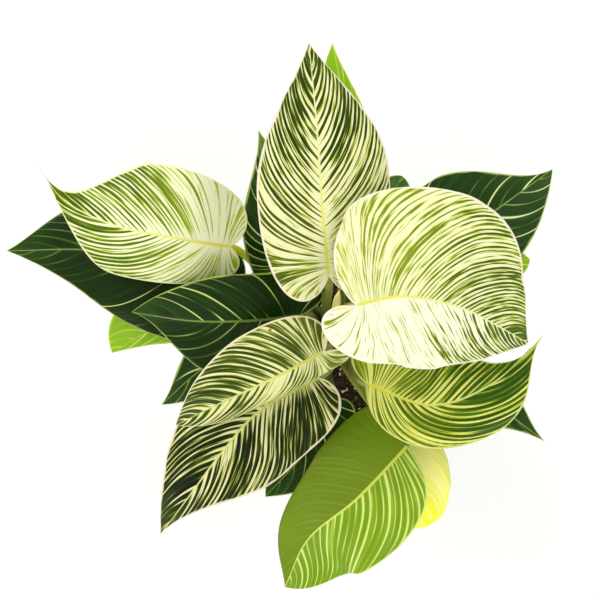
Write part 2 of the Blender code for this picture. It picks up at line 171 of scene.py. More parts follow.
# Pot and potting mix
POT_HEIGHT = 135.0
POT_TOP_RADIUS = 75.0
POT_FOOT_RADIUS = 53.0
POT_RIM_HEIGHT = 18.0
POT_RIM_STEP = 3.5
POT_WALL = 5.0
POT_FLOOR = 8.0
LIP_WEAR = 1.6  # how far down from the lip the glaze runs thin
SOIL_LEVEL = 119.0
SOIL_EDGE_DROP = 4.0
SOIL_RIPPLE = 1.0
SOIL_RIPPLES = 5  # half waves from the middle to the wall
SOIL_RINGS = 34
SOIL_SIDES = 96
LUMP_HEIGHT = 0.9
LUMP_SINK = 0.5
LUMP_SCALE = 0.16  # steps of the noise in a millimetre
GRAINS_FROM_TO = (0.22, 0.955)  # shares of the way to the wall between which they lie
GRAIN_RINGS = 14
GRAIN_SIDES = 72
GRAIN_SINK = 0.2
GRAIN_DENTS = 1.3  # steps of the noise in a grain's radius
NO_TURN = (0.0, 0.0, 0.0)
FULL_TURN = (6.283, 6.283, 6.283)

# Patterns of the materials, as steps in a metre, with their real size beside them
LEAF_CLOUDS = 26.0  # 38 mm wide
MARGIN_STEPS = 90.0  # 11 mm long, in which the margin's pale band widens and narrows
PETIOLE_STREAKS = (900.0, 900.0, 60.0)  # 1.1 mm wide and 17 mm long
SHEATH_GRAIN = (1400.0, 1400.0, 70.0)  # 0.7 mm wide and 14 mm long
BARK_CLOUDS = 180.0  # 5.6 mm wide
GLAZE_CLOUDS = 28.0  # 36 mm wide
GLAZE_SPECKS = 340.0  # 2.9 mm apart
GLAZE_BARE = 260.0  # 3.8 mm wide, where some specks are left out
GLAZE_WAVES = 60.0  # 17 mm wide
PAPER_TOOTH = 900.0  # 1.1 mm wide

# Camera and light
SENSOR = 36.0
PHOTO_WIDTH = 600.0  # pixels
PHOTO_FOCAL = 3885.7  # pixels: 0.70 mm a pixel at the leaves, 2.72 m below the camera
SOFTBOX_SIZE = 1.7  # metres across
LIT_PLACE = (0, 0, 0.25)  # in metres
SOFTBOXES = [
    # name, share of the power, place in metres
    ("softbox_back_left", 1.3, (-1.75, 1.75, 1.6)),
    ("softbox_back_right", 0.9, (1.75, 1.75, 1.6)),
    ("softbox_front_left", 0.9, (-1.75, -1.75, 1.6)),
    ("softbox_front_right", 0.9, (1.75, -1.75, 1.6)),
]

# What each place on a blade tells its material
ATTRIBUTES = ("across_veins", "along_vein", "tipward", "off_midrib", "off_margin", "right_half", "underside")

# Half a blade: width and lobe in mm, widest as a share of the length, full as how full the tip is, fold as
# the angle at the midrib, curl as the turn from there to the margin, up being positive, and spread as how
# wide of the petiole the lobe opens
Side = namedtuple("Side", "width lobe widest full fold curl spread", defaults=(16, 0.38, 0.5, 8, -25, 0.3))

# A leaf: its midrib's points, foot of the blade first, its halves, the height where its petiole leaves the
# stem, the angle round the stem from the blade's own, and its first lean from upright
Leaf = namedtuple("Leaf", "name midrib left right foot turn lean")

# A leaf's finish, and the colours of its streaks, green, tip, margin, midrib and petiole
Tissue = namedtuple("Tissue", "slot pale lime green deep tip margin rib_foot rib_tip petiole_top "
                    "petiole_foot")

# A blade's colouring. left and right give each half's pale share at its foot, middle and tip. stripe is
# the spacing of its lines in mm, regular how much they count beside chance, comb how much more at the tip
# and sharp how thin they are. dash is a streak's length in mm, halo how much paler it is beside the
# midrib, fresh how lime its green is at the foot, and band the pale margin's width in mm
Look = namedtuple("Look", "tissue left right stripe regular comb sharp dash halo fresh band seed "
                  "right_tissue", defaults=(None, 3.6, 0.5, 0.0, 1.0, 14.0, 0.6, 0.0, 1.3, 1, None))


def linear(code):
    """A hex colour of sRGB as linear red, green and blue."""
    parts = [int(code[i:i + 2], 16) / 255 for i in (1, 3, 5)]
    return [c / 12.92 if c <= 0.04045 else ((c + 0.055) / 1.055) ** 2.4 for c in parts]


def veined(tissue, shares, stripe, seed, right=None, band=1.3):
    """The colouring of a green blade, whose only pale lines are thin ones along its main veins."""
    return Look(tissue, shares, right, stripe=stripe, regular=1.0, sharp=8.0, dash=50.0, halo=0.2, band=band,
                seed=seed)


LEAVES = [
    Leaf("leaf_back_upright", [(-3, 43, 312), (-8, 95, 325), (-12, 152, 320), (-17, 206, 298)],
         Side(45, 16, 0.34, 0.32), Side(49, 16, 0.42, 0.33, fold=-6, curl=-12), foot=154, lean=22, turn=14),
    Leaf("leaf_right_cream", [(15, 23, 330), (48, 29, 342), (85, 22, 336), (113, 9, 312), (137, -4, 284)],
         Side(77, 10, 0.38, 0.28), Side(49, 25, 0.33, 0.42, spread=-0.25), foot=158, lean=20, turn=-8),
    Leaf("leaf_left_arching", [(-72, 64, 262), (-110, 70, 274), (-153, 79, 264), (-190, 97, 244),
                               (-209, 122, 248)],
         Side(35, 10, 0.47, -0.1, fold=-4), Side(50, 10, 0.4, -0.05), foot=138, lean=38, turn=7),
    Leaf("leaf_far_left_dark", [(-70, 30, 232), (-115, 50, 236), (-170, 62, 226), (-234, 62, 208)],
         Side(50, 16, 0.28, 0.3), Side(42, 4, 0.5, 0.33), foot=129, lean=44, turn=19),
    Leaf("leaf_left_dark", [(-22, 16, 270), (-60, 12, 277), (-100, 12, 270), (-142, 18, 255)],
         Side(42, full=0.1), Side(33, full=0.55, fold=14, curl=-15), foot=150, lean=22, turn=6),
    Leaf("leaf_front_left_upper", [(-6, -9, 300), (-38, -26, 306), (-80, -46, 298), (-110, -61, 282)],
         Side(30, fold=-20, curl=-80), Side(37, 8, 0.34), foot=156, lean=20, turn=-20),
    Leaf("leaf_front_left_lower", [(-10, -28, 262), (-52, -52, 264), (-79, -82, 258), (-105, -117, 244),
                                   (-123, -141, 228)],
         Side(45, 8, full=0.08), Side(41, 7, full=0.42), foot=148, lean=24, turn=22),
    Leaf("leaf_front_right", [(23, -32, 270), (69, -47, 280), (112, -32, 272), (150, 3, 258)],
         Side(44, full=-0.2), Side(32, -4, 0.56, 0.05), foot=146, lean=24, turn=12),
    Leaf("leaf_front_half_green", [(53, -77, 246), (17, -114, 254), (-17, -143, 240), (-34, -179, 218)],
         Side(46, -3, 0.44, 0.8), Side(45, 16, 0.22, 0.36), foot=136, lean=34, turn=0),
    Leaf("leaf_front_yellow", [(44, -68, 200), (58, -90, 204), (62, -115, 192), (64, -140, 172)],
         Side(25, 8, 0.5, 0.8), Side(26, 8, full=0.8), foot=121, lean=44, turn=-11),
    Leaf("leaf_right_dark", [(55, 50, 245), (90, 72, 255), (118, 92, 248), (157, 120, 230)],
         Side(44, full=0.1), Side(40), foot=140, lean=36, turn=-8),
    Leaf("leaf_back_lime", [(10, 62, 238), (14, 115, 250), (8, 165, 246), (0, 210, 232)],
         Side(28), Side(20, full=0.25), foot=130, lean=34, turn=-7),
    Leaf("leaf_back_left_dark", [(-30, 42, 238), (-40, 80, 246), (-48, 115, 240), (-53, 148, 226)],
         Side(26, 7, 0.24, 0.08), Side(18), foot=143, lean=28, turn=-12),
    Leaf("leaf_back_small", [(28, 62, 210), (36, 85, 216), (50, 116, 204)],
         Side(15, 6, full=0.9), Side(17, 6, full=0.9), foot=120, lean=46, turn=-4),
    Leaf("leaf_left_lime", [(-60, 17, 176), (-95, 15, 188), (-130, 5, 183), (-160, -12, 168)],
         Side(16, full=0.35), Side(30, 6, 0.5, 0.9), foot=119, lean=52, turn=-8),
    Leaf("leaf_left_low", [(-40, 2, 212), (-75, -10, 216), (-100, -28, 208), (-123, -49, 196)],
         Side(24), Side(22, full=0.2), foot=120, lean=46, turn=29),
    Leaf("leaf_front_low", [(0, -45, 214), (-15, -77, 218), (-48, -115, 204)],
         Side(26, 5), Side(24, 4), foot=119, lean=40, turn=-24),
    Leaf("leaf_right_low", [(40, -35, 222), (85, -42, 230), (120, -52, 222), (153, -75, 208)],
         Side(30, full=0.15), Side(22, full=0.2), foot=119, lean=48, turn=16),
    Leaf("leaf_right_lime", [(52, 24, 194), (95, 48, 207), (143, 56, 194)],
         Side(32, 3, 0.5), Side(22, full=0.9), foot=120, lean=48, turn=-13),
]

CREAM = Tissue("leaf_cream_striped", pale="#eeebb6", lime="#b9c43c", green="#40580a", deep="#203403",
               tip="#4d6b10", margin="#f7e9ce", rib_foot="#e6e43a", rib_tip="#eeeeaa", petiole_top="#a9ad35",
               petiole_foot="#66751f")
WHITE = CREAM._replace(pale="#f0efba", lime="#c3cf3a", green="#5c7612", deep="#344e06", margin="#f6ecd6")
WHITER = WHITE._replace(pale="#f5f3d6", lime="#c9d243")
LIMY = CREAM._replace(pale="#f5f4c8", lime="#bccd3c", green="#6a870a", deep="#3c5806", tip="#6a8c12",
                      margin="#f1f2b4", petiole_top="#f6f42a", petiole_foot="#b4b62c")
STRIPED = Tissue("leaf_green_striped", pale="#e8e2a6", lime="#98a23a", green="#293b07", deep="#0c1600",
                 tip="#43640e", margin="#f3e3be", rib_foot="#d4d850", rib_tip="#e0e48c",
                 petiole_top="#9aa334", petiole_foot="#56661e")
MIDDLING = STRIPED._replace(green="#465e14", deep="#263606", pale="#e8e6a2")
GOLDEN = STRIPED._replace(pale="#eaea7c", lime="#bac434", green="#567a0a", deep="#2c4e02", tip="#527c12",
                          margin="#dfe48a", rib_foot="#e2e044")
GRASSY = Tissue("leaf_green_striped", pale="#dcea84", lime="#b4d04c", green="#8fb22c", deep="#769a14",
                tip="#6c940e", margin="#dcea80", rib_foot="#dde45a", rib_tip="#d9ea74",
                petiole_top="#a3b334", petiole_foot="#5f7120")
OLIVE = GRASSY._replace(pale="#7c9325", lime="#7b9224", green="#7a9123", deep="#6d8418", tip="#6e8c16",
                        margin="#6f7c22")
DARK = Tissue("leaf_dark_green", pale="#d2dc84", lime="#6a7e2c", green="#244808", deep="#162e02",
              tip="#3a6410", margin="#a5b552", rib_foot="#5f7c2a", rib_tip="#7d9640", petiole_top="#7c8d34",
              petiole_foot="#47591c")
LIVELY = DARK._replace(pale="#e4eaa6", lime="#748c34", green="#2b5210", deep="#1c3a04")
GREEN = DARK._replace(pale="#8fae4c", lime="#6b8f28", green="#527f1e", deep="#446814", margin="#7f9c3c")
FRESH = LIVELY._replace(tip="#7fae30")
LIME = Tissue("leaf_lime", pale="#dcec78", lime="#b4d230", green="#92bd12", deep="#7cab10", tip="#94c21c",
              margin="#cfe05c", rib_foot="#c6da58", rib_tip="#bcd44e", petiole_top="#a9ba3a",
              petiole_foot="#688022")
# LIME made lighter for the low left leaf: painted light, making up for the shade that the leaves above cast
# on it
LIME_PAINTED_LIGHT = LIME._replace(lime="#bedd38", green="#a4d21c", deep="#8fc016")
YELLOW = Tissue("leaf_yellow", pale="#fffb9a", lime="#fefc60", green="#fcfc48", deep="#f8fa34",
                tip="#fafb40", margin="#f8f8a4", rib_foot="#f4f280", rib_tip="#f2f070",
                petiole_top="#d4d848", petiole_foot="#87942e")

LOOKS = {
    "leaf_back_upright": Look(CREAM, (0.5, 0.42, 0.07), (0.54, 0.44, 0.09), stripe=3.3, comb=0.7, dash=19,
                              halo=1.1, fresh=0.2, band=1.4, seed=3),
    "leaf_right_cream": Look(WHITE, (0.68, 0.48, 0.09), (0.84, 0.76, 0.15), stripe=2.7, comb=0.5, dash=14,
                             halo=0.2, fresh=0.7, band=1.6, seed=8, right_tissue=WHITER),
    "leaf_left_arching": Look(LIMY, (0.68, 0.38, 0.05), (0.74, 0.4, 0.06), stripe=3.0, comb=0.8, dash=26,
                              halo=0.8, fresh=0.7, seed=12),
    "leaf_far_left_dark": veined(DARK, (0.1, 0.07, 0.06), 6.5, 17, band=0.8),
    "leaf_left_dark": veined(DARK, (0.1, 0.07, 0.05), 7.5, 22, band=0.9),
    "leaf_front_left_upper": Look(MIDDLING, (0.56, 0.5, 0.34), (0.38, 0.34, 0.18), comb=0.5, dash=24,
                                  fresh=0.2, seed=27),
    "leaf_front_left_lower": Look(STRIPED, (0.27, 0.19, 0.08), comb=0.7, dash=24, halo=1.0, seed=31),
    "leaf_front_right": Look(GOLDEN, (0.32, 0.16, 0.1), regular=0.8, comb=0.6, dash=30, fresh=0.3, band=1.0,
                             seed=36),
    "leaf_front_half_green": Look(GRASSY, (0.35, 0.22, 0.12), (0.03, 0.03, 0.03), stripe=4.2, regular=1.1,
                                  sharp=3.0, dash=40, halo=0.2, band=0.8, seed=41, right_tissue=OLIVE),
    "leaf_front_yellow": Look(YELLOW, (0.8, 0.6, 0.35), stripe=4.4, dash=40, seed=46),
    "leaf_right_dark": veined(LIVELY, (0.14, 0.12, 0.08), 7.5, 52, band=1.0),
    "leaf_back_lime": veined(LIME, (0.2, 0.16, 0.1), 6.0, 57),
    "leaf_back_left_dark": veined(FRESH, (0.2, 0.2, 0.25), 5.0, 61, (0.18, 0.16, 0.12), band=1.4),
    "leaf_back_small": veined(GREEN, (0.12, 0.1, 0.08), 6.0, 66),
    "leaf_left_lime": veined(LIME_PAINTED_LIGHT, (0.2, 0.16, 0.12), 6.0, 71),
    "leaf_left_low": veined(LIVELY, (0.12, 0.09, 0.06), 7.0, 76),
    "leaf_front_low": veined(LIVELY, (0.12, 0.09, 0.06), 7.0, 81),
    "leaf_right_low": veined(LIVELY, (0.12, 0.09, 0.06), 7.0, 86),
    "leaf_right_lime": veined(LIME, (0.25, 0.2, 0.14), 6.0, 91),
}

# Small dry marks on the blades: (x, y) and radius in mm
DRY_MARKS = {
    "leaf_front_left_upper": [((-73.2, -13.1), 1.6), ((-43.9, 5.8), 1.6), ((-108.5, -58.5), 3.2)],
    "leaf_front_yellow": [((54.7, -83.7), 1.8)],
    "leaf_left_dark": [((-143.0, 18.0), 2.0)],
}


class FoliageSettings(bpy.types.PropertyGroup):
    """Sizes and finish of the leaves."""

    blade_thickness: FloatProperty(
        name="Blade thickness", description="Thickness of a blade beside its midrib", default=0.0006,
        min=0.0002, unit="LENGTH")
    petiole_sides: IntProperty(
        name="Petiole sides", description="Sides of the petioles' round section", default=16, min=6)
    gloss: FloatProperty(
        name="Gloss", description="Share of a clear wax coat on the blades", default=0.03, min=0.0, max=1.0,
        subtype="FACTOR")
    vein_relief: FloatProperty(
        name="Vein relief", description="How strongly the fine veins stand out", default=0.3, min=0.0,
        max=1.0, subtype="FACTOR")


class PotSettings(bpy.types.PropertyGroup):
    """Sizes and colours of the pot and its potting mix."""

    glaze: FloatVectorProperty(
        name="Glaze", description="Colour of the pot's glaze", default=linear("#cfc9bd"), size=3,
        min=0.0, max=1.0, subtype="COLOR")
    speckle: FloatVectorProperty(
        name="Speckle", description="Colour of the iron specks in the glaze", default=linear("#7d6a55"),
        size=3, min=0.0, max=1.0, subtype="COLOR")
    turned_steps: IntProperty(
        name="Steps round the pot", description="Faces round the pot", default=160, min=24)
    crumb_density: FloatProperty(
        name="Crumbs", description="Crumbs of peat on a square metre", default=190000.0, min=0.0)
    bark_density: FloatProperty(
        name="Bark", description="Bark chips on a square metre", default=22000.0, min=0.0)
    perlite_density: FloatProperty(
        name="Perlite", description="Perlite grains on a square metre", default=13000.0, min=0.0)
    seed: IntProperty(name="Seed", description="Seed of every random draw in the potting mix", default=5)


class StudioSettings(bpy.types.PropertyGroup):
    """Floor, light and camera."""

    floor_size: FloatProperty(
        name="Floor", description="Side of the square floor", default=12.0, min=1.0, unit="LENGTH")
    camera_height: FloatProperty(
        name="Camera height", description="Height of the camera over the floor", default=3.0, min=1.0,
        unit="LENGTH")
    camera_x: FloatProperty(
        name="Camera right", description="How far right of the pot's middle the camera hangs",
        default=-0.0231, unit="LENGTH")
    camera_y: FloatProperty(
        name="Camera back", description="How far behind the pot's middle the camera hangs",
        default=0.0266, unit="LENGTH")
    sky: FloatProperty(name="Fill light", description="Strength of the even white light", default=0.76)
    key: FloatProperty(
        name="Softboxes", description="Power of each softbox", default=19.0, unit="POWER")


def curve_through(points, per_span):
    """Points along a smooth curve that passes through each of the given ones."""
    points = np.array(points, float)
    ends = np.vstack([2 * points[0] - points[1], points, 2 * points[-1] - points[-2]])
    t = (np.arange(per_span) / per_span)[:, None]
    spans = []
    for a, b, c, d in zip(ends, ends[1:], ends[2:], ends[3:]):
        square = (2 * a - 5 * b + 4 * c - d) * t * t
        cube = (3 * b - a - 3 * c + d) * t ** 3
        spans.append(0.5 * (2 * b + (c - a) * t + square + cube))
    return np.vstack([*spans, points[-1]])


def bezier(a, b, c, d, t):
    """The point at t on a cubic curve with these four controls."""
    s = 1 - t
    return s ** 3 * a + 3 * s * s * t * b + 3 * s * t * t * c + t ** 3 * d


def unit(vectors):
    """Each vector at length 1, or 0 where it has no length."""
    vectors = np.asarray(vectors, float)
    length = np.linalg.norm(vectors, axis=-1, keepdims=True)
    return vectors / np.where(length > 1e-9, length, 1.0)


class Midrib:
    """A blade's midrib: where it runs, and which way the blade lies at each distance along it."""

    def __init__(self, points):
        self.path = curve_through(points, MIDRIB_STEPS)
        steps = np.linalg.norm(np.diff(self.path, axis=0), axis=1)
        self.along = np.concatenate([[0], np.cumsum(steps)])
        self.length = self.along[-1]
        self.tangents = np.gradient(self.path, self.along, axis=0)

    def frame(self, along):
        """Points, forward, left and up at distances from the blade's foot, straight on behind it."""
        along = np.asarray(along, float)
        inside = np.clip(along, 0.0, self.length)
        point = np.stack([np.interp(inside, self.along, self.path[:, k]) for k in range(3)], -1)
        forward = unit(np.stack([np.interp(inside, self.along, self.tangents[:, k]) for k in range(3)], -1))
        point = point + (along - inside)[..., None] * forward
        left = unit(np.cross([0, 0, 1], forward))
        return point, forward, left, np.cross(forward, left)


def margin(half, length, t):
    """The flat outline of half a blade: distances along the midrib and out from it, at t from 0 to 1."""
    widest = half.widest * length
    rest = length - widest
    round_t = np.clip(t / LOBE_SHARE, 0, 1)
    point_t = np.clip((t - LOBE_SHARE) / (1 - LOBE_SHARE), 0, 1)
    lobe_along = bezier(0, -LOBE_PULL[0] * half.lobe, -LOBE_PULL[1] * half.lobe, widest, round_t)
    lobe_out = bezier(0, half.spread, LOBE_BULGE, 1, round_t)
    before_tip = widest + (TIP_PULL[1] + FULL_PULL * half.full) * rest
    tip_along = bezier(widest, widest + TIP_PULL[0] * rest, before_tip, length, point_t)
    tip_out = bezier(1, 1, half.full, 0, point_t)
    in_lobe = t < LOBE_SHARE
    return np.where(in_lobe, lobe_along, tip_along), half.width * np.where(in_lobe, lobe_out, tip_out)


def vein_start(v):
    """How far up the midrib the vein v leaves it, as a share of the blade's length."""
    v = np.maximum(0.0, (v - LOBE_FAN) / (1 - LOBE_FAN))
    return LOW_VEINS * v ** VEIN_CROWDING[0] + (1 - LOW_VEINS) * v ** VEIN_CROWDING[1]


def stripe_places(flat, column):
    """How far across the veins each row lies, in mm, from where its vein crosses the given column."""
    places = flat[:, column]
    along = flat[:, column + 1] - flat[:, column - 1]
    along[0], along[-1] = along[1], along[-2]
    normals = unit(np.stack([-along[:, 1], along[:, 0]], -1))
    steps = np.diff(places, axis=0)
    apart = np.abs(np.sum(steps * 0.5 * (normals[1:] + normals[:-1]), -1))
    return np.concatenate([[0], np.cumsum(apart)])


def distance_to(outline, flat):
    """Distance from each flat point to an outline of straight pieces."""
    start, step = outline[:-1], np.diff(outline, axis=0)
    span = np.maximum(np.sum(step * step, -1), 1e-9)
    offset = flat[..., None, :] - start
    share = np.clip(np.sum(offset * step, -1) / span, 0, 1)
    return np.linalg.norm(offset - share[..., None] * step, axis=-1).min(-1)


def half_blade(plant_leaf, rib, direction, thickness):
    """Half a blade as grids of places in mm for its top, its rim's middle and its underside, with the
    distances that its pattern follows."""
    half = plant_leaf.left if direction > 0 else plant_leaf.right
    rows = int(rib.length / ROW_LENGTH)
    columns = int(max(plant_leaf.left.width, plant_leaf.right.width) / COLUMN_WIDTH)
    v = 1 - (1 - np.linspace(0, 1, rows + 1)[:, None]) ** TIP_CROWDING
    w = (np.linspace(0, 1, columns + 1) ** RIB_CROWDING)[None, :]
    start = rib.length * vein_start(v)
    end_along, end_out = margin(half, rib.length, v)
    bend = start + VEIN_RISE * (end_along - start)
    along = (1 - w) ** 2 * start + 2 * w * (1 - w) * bend + w * w * end_along
    reach = VEIN_REACH[0] + (VEIN_REACH[1] - VEIN_REACH[0]) * v
    out = (2 * w * (1 - w) * reach + w * w) * end_out
    fold = math.radians(half.fold)
    turn = math.radians(half.curl) / half.width
    across = (np.sin(fold + turn * out) - math.sin(fold)) / turn
    height = (math.cos(fold) - np.cos(fold + turn * out)) / turn
    share = out / half.width
    phase = plant_leaf.foot + (0 if direction > 0 else WAVES_APART)
    height = height + MARGIN_WAVE * share ** 2 * np.sin(2 * math.pi * MARGIN_WAVES * v + phase)
    flat = np.stack([along, out], -1)
    stripes = stripe_places(flat, int(STRIPE_COLUMN * columns))[:, None] + 0 * w
    tipward = along / rib.length
    taper = 1 - GROOVE_FADE * np.clip(tipward, 0, 1)
    height = height - RIB_GROOVE * taper * np.exp(-(out / RIB_GROOVE_WIDTH) ** 2)
    pleats = np.sin(2 * math.pi * stripes / PLEAT_SPACING)
    height = height + PLEAT_DEPTH * pleats * np.sin(math.pi * w) * share
    point, forward, left, up = rib.frame(along)
    top = point + direction * across[..., None] * left + height[..., None] * up
    normal = direction * np.cross(np.gradient(top, axis=0), np.gradient(top, axis=1))
    collapsed = np.linalg.norm(normal, axis=-1, keepdims=True) < 1e-6
    normal = np.where(collapsed, up, unit(normal))
    normal[:, 0], normal[0], normal[-1] = up[:, 0], up[0], up[-1]
    tip_thinning = np.clip(tipward, 0, 1) ** TIP_THINNING_POWER
    thick = thickness * (1 - MARGIN_THINNING * share ** 2) * (1 - TIP_THINNING * tip_thinning)
    below = top - normal * thick[..., None]
    outward = unit(top[:, -1] - top[:, -2])
    outward[0], outward[-1] = -forward[0, 0], forward[-1, 0]
    rim = 0.5 * (top[:, -1] + below[:, -1]) + outward * RIM_BULGE * thick[:, -1:]
    vein_length = np.linalg.norm(np.diff(flat, axis=1), axis=-1)
    vein_length = np.concatenate([np.zeros((rows + 1, 1)), np.cumsum(vein_length, axis=1)], axis=1)
    values = {
        "across_veins": stripes + (0 if direction > 0 else HALF_APART),
        "along_vein": vein_length,
        "tipward": tipward,
        "off_midrib": out,
        "off_margin": distance_to(flat[:, -1], flat),
        "right_half": np.full(out.shape, 0.0 if direction > 0 else 1.0),
    }
    return top, rim, below, values


def ring(angles, radius, height):
    """Places at angles round the axis, at radii and heights that may be grids."""
    return np.stack([radius * np.cos(angles), radius * np.sin(angles), height + 0 * angles], -1)


def numbered(rows, columns, first=0):
    """The vertex numbers of a grid."""
    return first + np.arange(rows * columns).reshape(rows, columns)


def grid_faces(numbers, turned_over):
    """The quads of a grid of vertex numbers, wound the other way where it is turned over."""
    a, b, c, d = numbers[:-1, :-1], numbers[1:, :-1], numbers[1:, 1:], numbers[:-1, 1:]
    order = (a, d, c, b) if turned_over else (a, b, c, d)
    return np.stack(order, -1).reshape(-1, 4).tolist()


def new_mesh(name, places, edges, faces, values):
    """A mesh in metres from places in mm, with a value at each place for each name."""
    mesh = bpy.data.meshes.new(name)
    mesh.from_pydata((np.asarray(places, float) * MM).tolist(), edges, faces)
    for key, numbers in values.items():
        mesh.attributes.new(key, "FLOAT", "POINT").data.foreach_set("value", np.asarray(numbers, np.float32))
    return mesh


def welded_mesh(name, places, faces, values=None):
    """A smooth mesh of faces, with coinciding vertices merged."""
    mesh = new_mesh(name, places, [], faces, values or {})
    welded = bmesh.new()
    welded.from_mesh(mesh)
    bmesh.ops.remove_doubles(welded, verts=welded.verts[:], dist=WELD)
    bmesh.ops.dissolve_degenerate(welded, edges=welded.edges[:], dist=SHORTEST_EDGE)
    welded.to_mesh(mesh)
    welded.free()
    mesh.shade_smooth()
    return mesh


def blade_mesh(plant_leaf, rib, thickness):
    """A closed blade with both its faces and a rounded rim."""
    vertices, faces = [], []
    values = {key: [] for key in ATTRIBUTES}
    count = 0
    for direction in (1, -1):
        top, rim, below, places = half_blade(plant_leaf, rib, direction, thickness)
        rows, columns = top.shape[:2]
        numbers = numbered(rows, columns, first=count)
        under_numbers = numbers + rows * columns
        rim_numbers = count + 2 * rows * columns + np.arange(rows)
        faces += grid_faces(numbers, direction < 0)
        faces += grid_faces(under_numbers, direction > 0)
        faces += grid_faces(np.stack([numbers[:, -1], rim_numbers, under_numbers[:, -1]], -1), direction < 0)
        vertices += [top.reshape(-1, 3), below.reshape(-1, 3), rim]
        for key, grid in places.items():
            values[key] += [grid.ravel(), grid.ravel(), grid[:, -1]]
        values["underside"] += [np.zeros(rows * columns), np.ones(rows * columns), np.zeros(rows)]
        count += 2 * rows * columns + rows
    return welded_mesh(plant_leaf.name, np.vstack(vertices), faces,
                       {key: np.concatenate(parts) for key, parts in values.items()})


def petiole_route(plant_leaf, rib):
    """Points, radii and shares along for a petiole from the stem to the blade, then under its midrib."""
    foot_point, forward, _, up = rib.frame(0.0)
    end = foot_point - up * (RIB_START_RADIUS + SKIN_OVER_RIB)
    around = math.atan2(end[1], end[0]) + math.radians(plant_leaf.turn)
    outward = np.array([math.cos(around), math.sin(around), 0])
    lean = math.radians(plant_leaf.lean)
    start = outward * PETIOLE_START * STEM_RADIUS + np.array([0, 0, plant_leaf.foot])
    reach = np.linalg.norm(end - start)
    leave = math.sin(lean) * outward + np.array([0, 0, math.cos(lean)])
    rise = math.radians(PETIOLE_RISE)
    level = unit(np.array([forward[0], forward[1], 0]))
    arrive = math.cos(rise) * level + np.array([0, 0, math.sin(rise)])
    t = (np.arange(PETIOLE_POINTS) / PETIOLE_POINTS)[:, None]
    stalk = bezier(start, start + leave * reach * PETIOLE_PULL[0], end - arrive * reach * PETIOLE_PULL[1],
                   end, t)
    stalk_radius = PETIOLE_FOOT_RADIUS + (PETIOLE_TOP_RADIUS - PETIOLE_FOOT_RADIUS) * t[:, 0]
    share = RIB_REACH * (np.arange(RIB_POINTS + 1) / RIB_POINTS) ** RIB_POINTS_CROWDING
    thinning = (share / RIB_REACH) ** RIB_TAPER
    rib_radius = RIB_START_RADIUS + (RIB_END_RADIUS - RIB_START_RADIUS) * thinning
    point, _, _, up = rib.frame(share * rib.length)
    below = rib_radius + SKIN_OVER_RIB * (1 - share / RIB_REACH) + RIB_SINK
    under = point - up * below[:, None]
    under[0] = end
    shares = np.concatenate([t[:, 0], 1 + share])
    return np.vstack([stalk, under]), np.concatenate([stalk_radius, rib_radius]), shares


def fill(node, inputs):
    """Sets or links a node's inputs, given by number or name."""
    for socket, value in inputs.items():
        if isinstance(value, bpy.types.NodeSocket):
            node.id_data.links.new(value, node.inputs[socket])
        else:
            node.inputs[socket].default_value = value


def add_node(tree, kind, *inputs, take=0, **settings):
    """Adds a node with its settings and its inputs, in their order or as one dict, and returns the output
    that is asked for. A kind without Node in its name is a shader's."""
    made = tree.nodes.new(kind if "Node" in kind else "ShaderNode" + kind)
    for key, value in settings.items():
        setattr(made, key, value)
    fill(made, inputs[0] if inputs and isinstance(inputs[0], dict) else dict(enumerate(inputs)))
    return made.outputs[take] if len(made.outputs) else made


def set_stops(output, *stops):
    """Gives a colour ramp its stops, each a place from 0 to 1 and a hex colour."""
    ramp = output.node.color_ramp
    while len(ramp.elements) < len(stops):
        ramp.elements.new(0.5)
    for element, (place, code) in zip(ramp.elements, stops):
        element.position = place
        element.color = (*linear(code), 1)
    return output


def new_material(name):
    """A material, and the function that adds nodes to it."""
    made = bpy.data.materials.new(name)
    made.use_nodes = True
    return made, partial(add_node, made.node_tree)


def finish_material(made, colour, layers=(), height=None, relief=0.3, depth=0.0003, **finish):
    """Lays each layer's colour over the first by its share, gives the shader the result, the height and its
    other values, and returns the material."""
    tree = made.node_tree
    for share, over in layers:
        over = (*linear(over), 1) if isinstance(over, str) else over
        colour = add_node(tree, "Mix", {0: share, 6: colour, 7: over}, take=2, data_type="RGBA")
    inputs = {"Base Color": colour, **{key.replace("_", " "): value for key, value in finish.items()}}
    if height is not None:
        inputs["Normal"] = add_node(tree, "Bump", {"Strength": relief, "Distance": depth, "Height": height})
    fill(tree.nodes["Principled BSDF"], inputs)
    return made


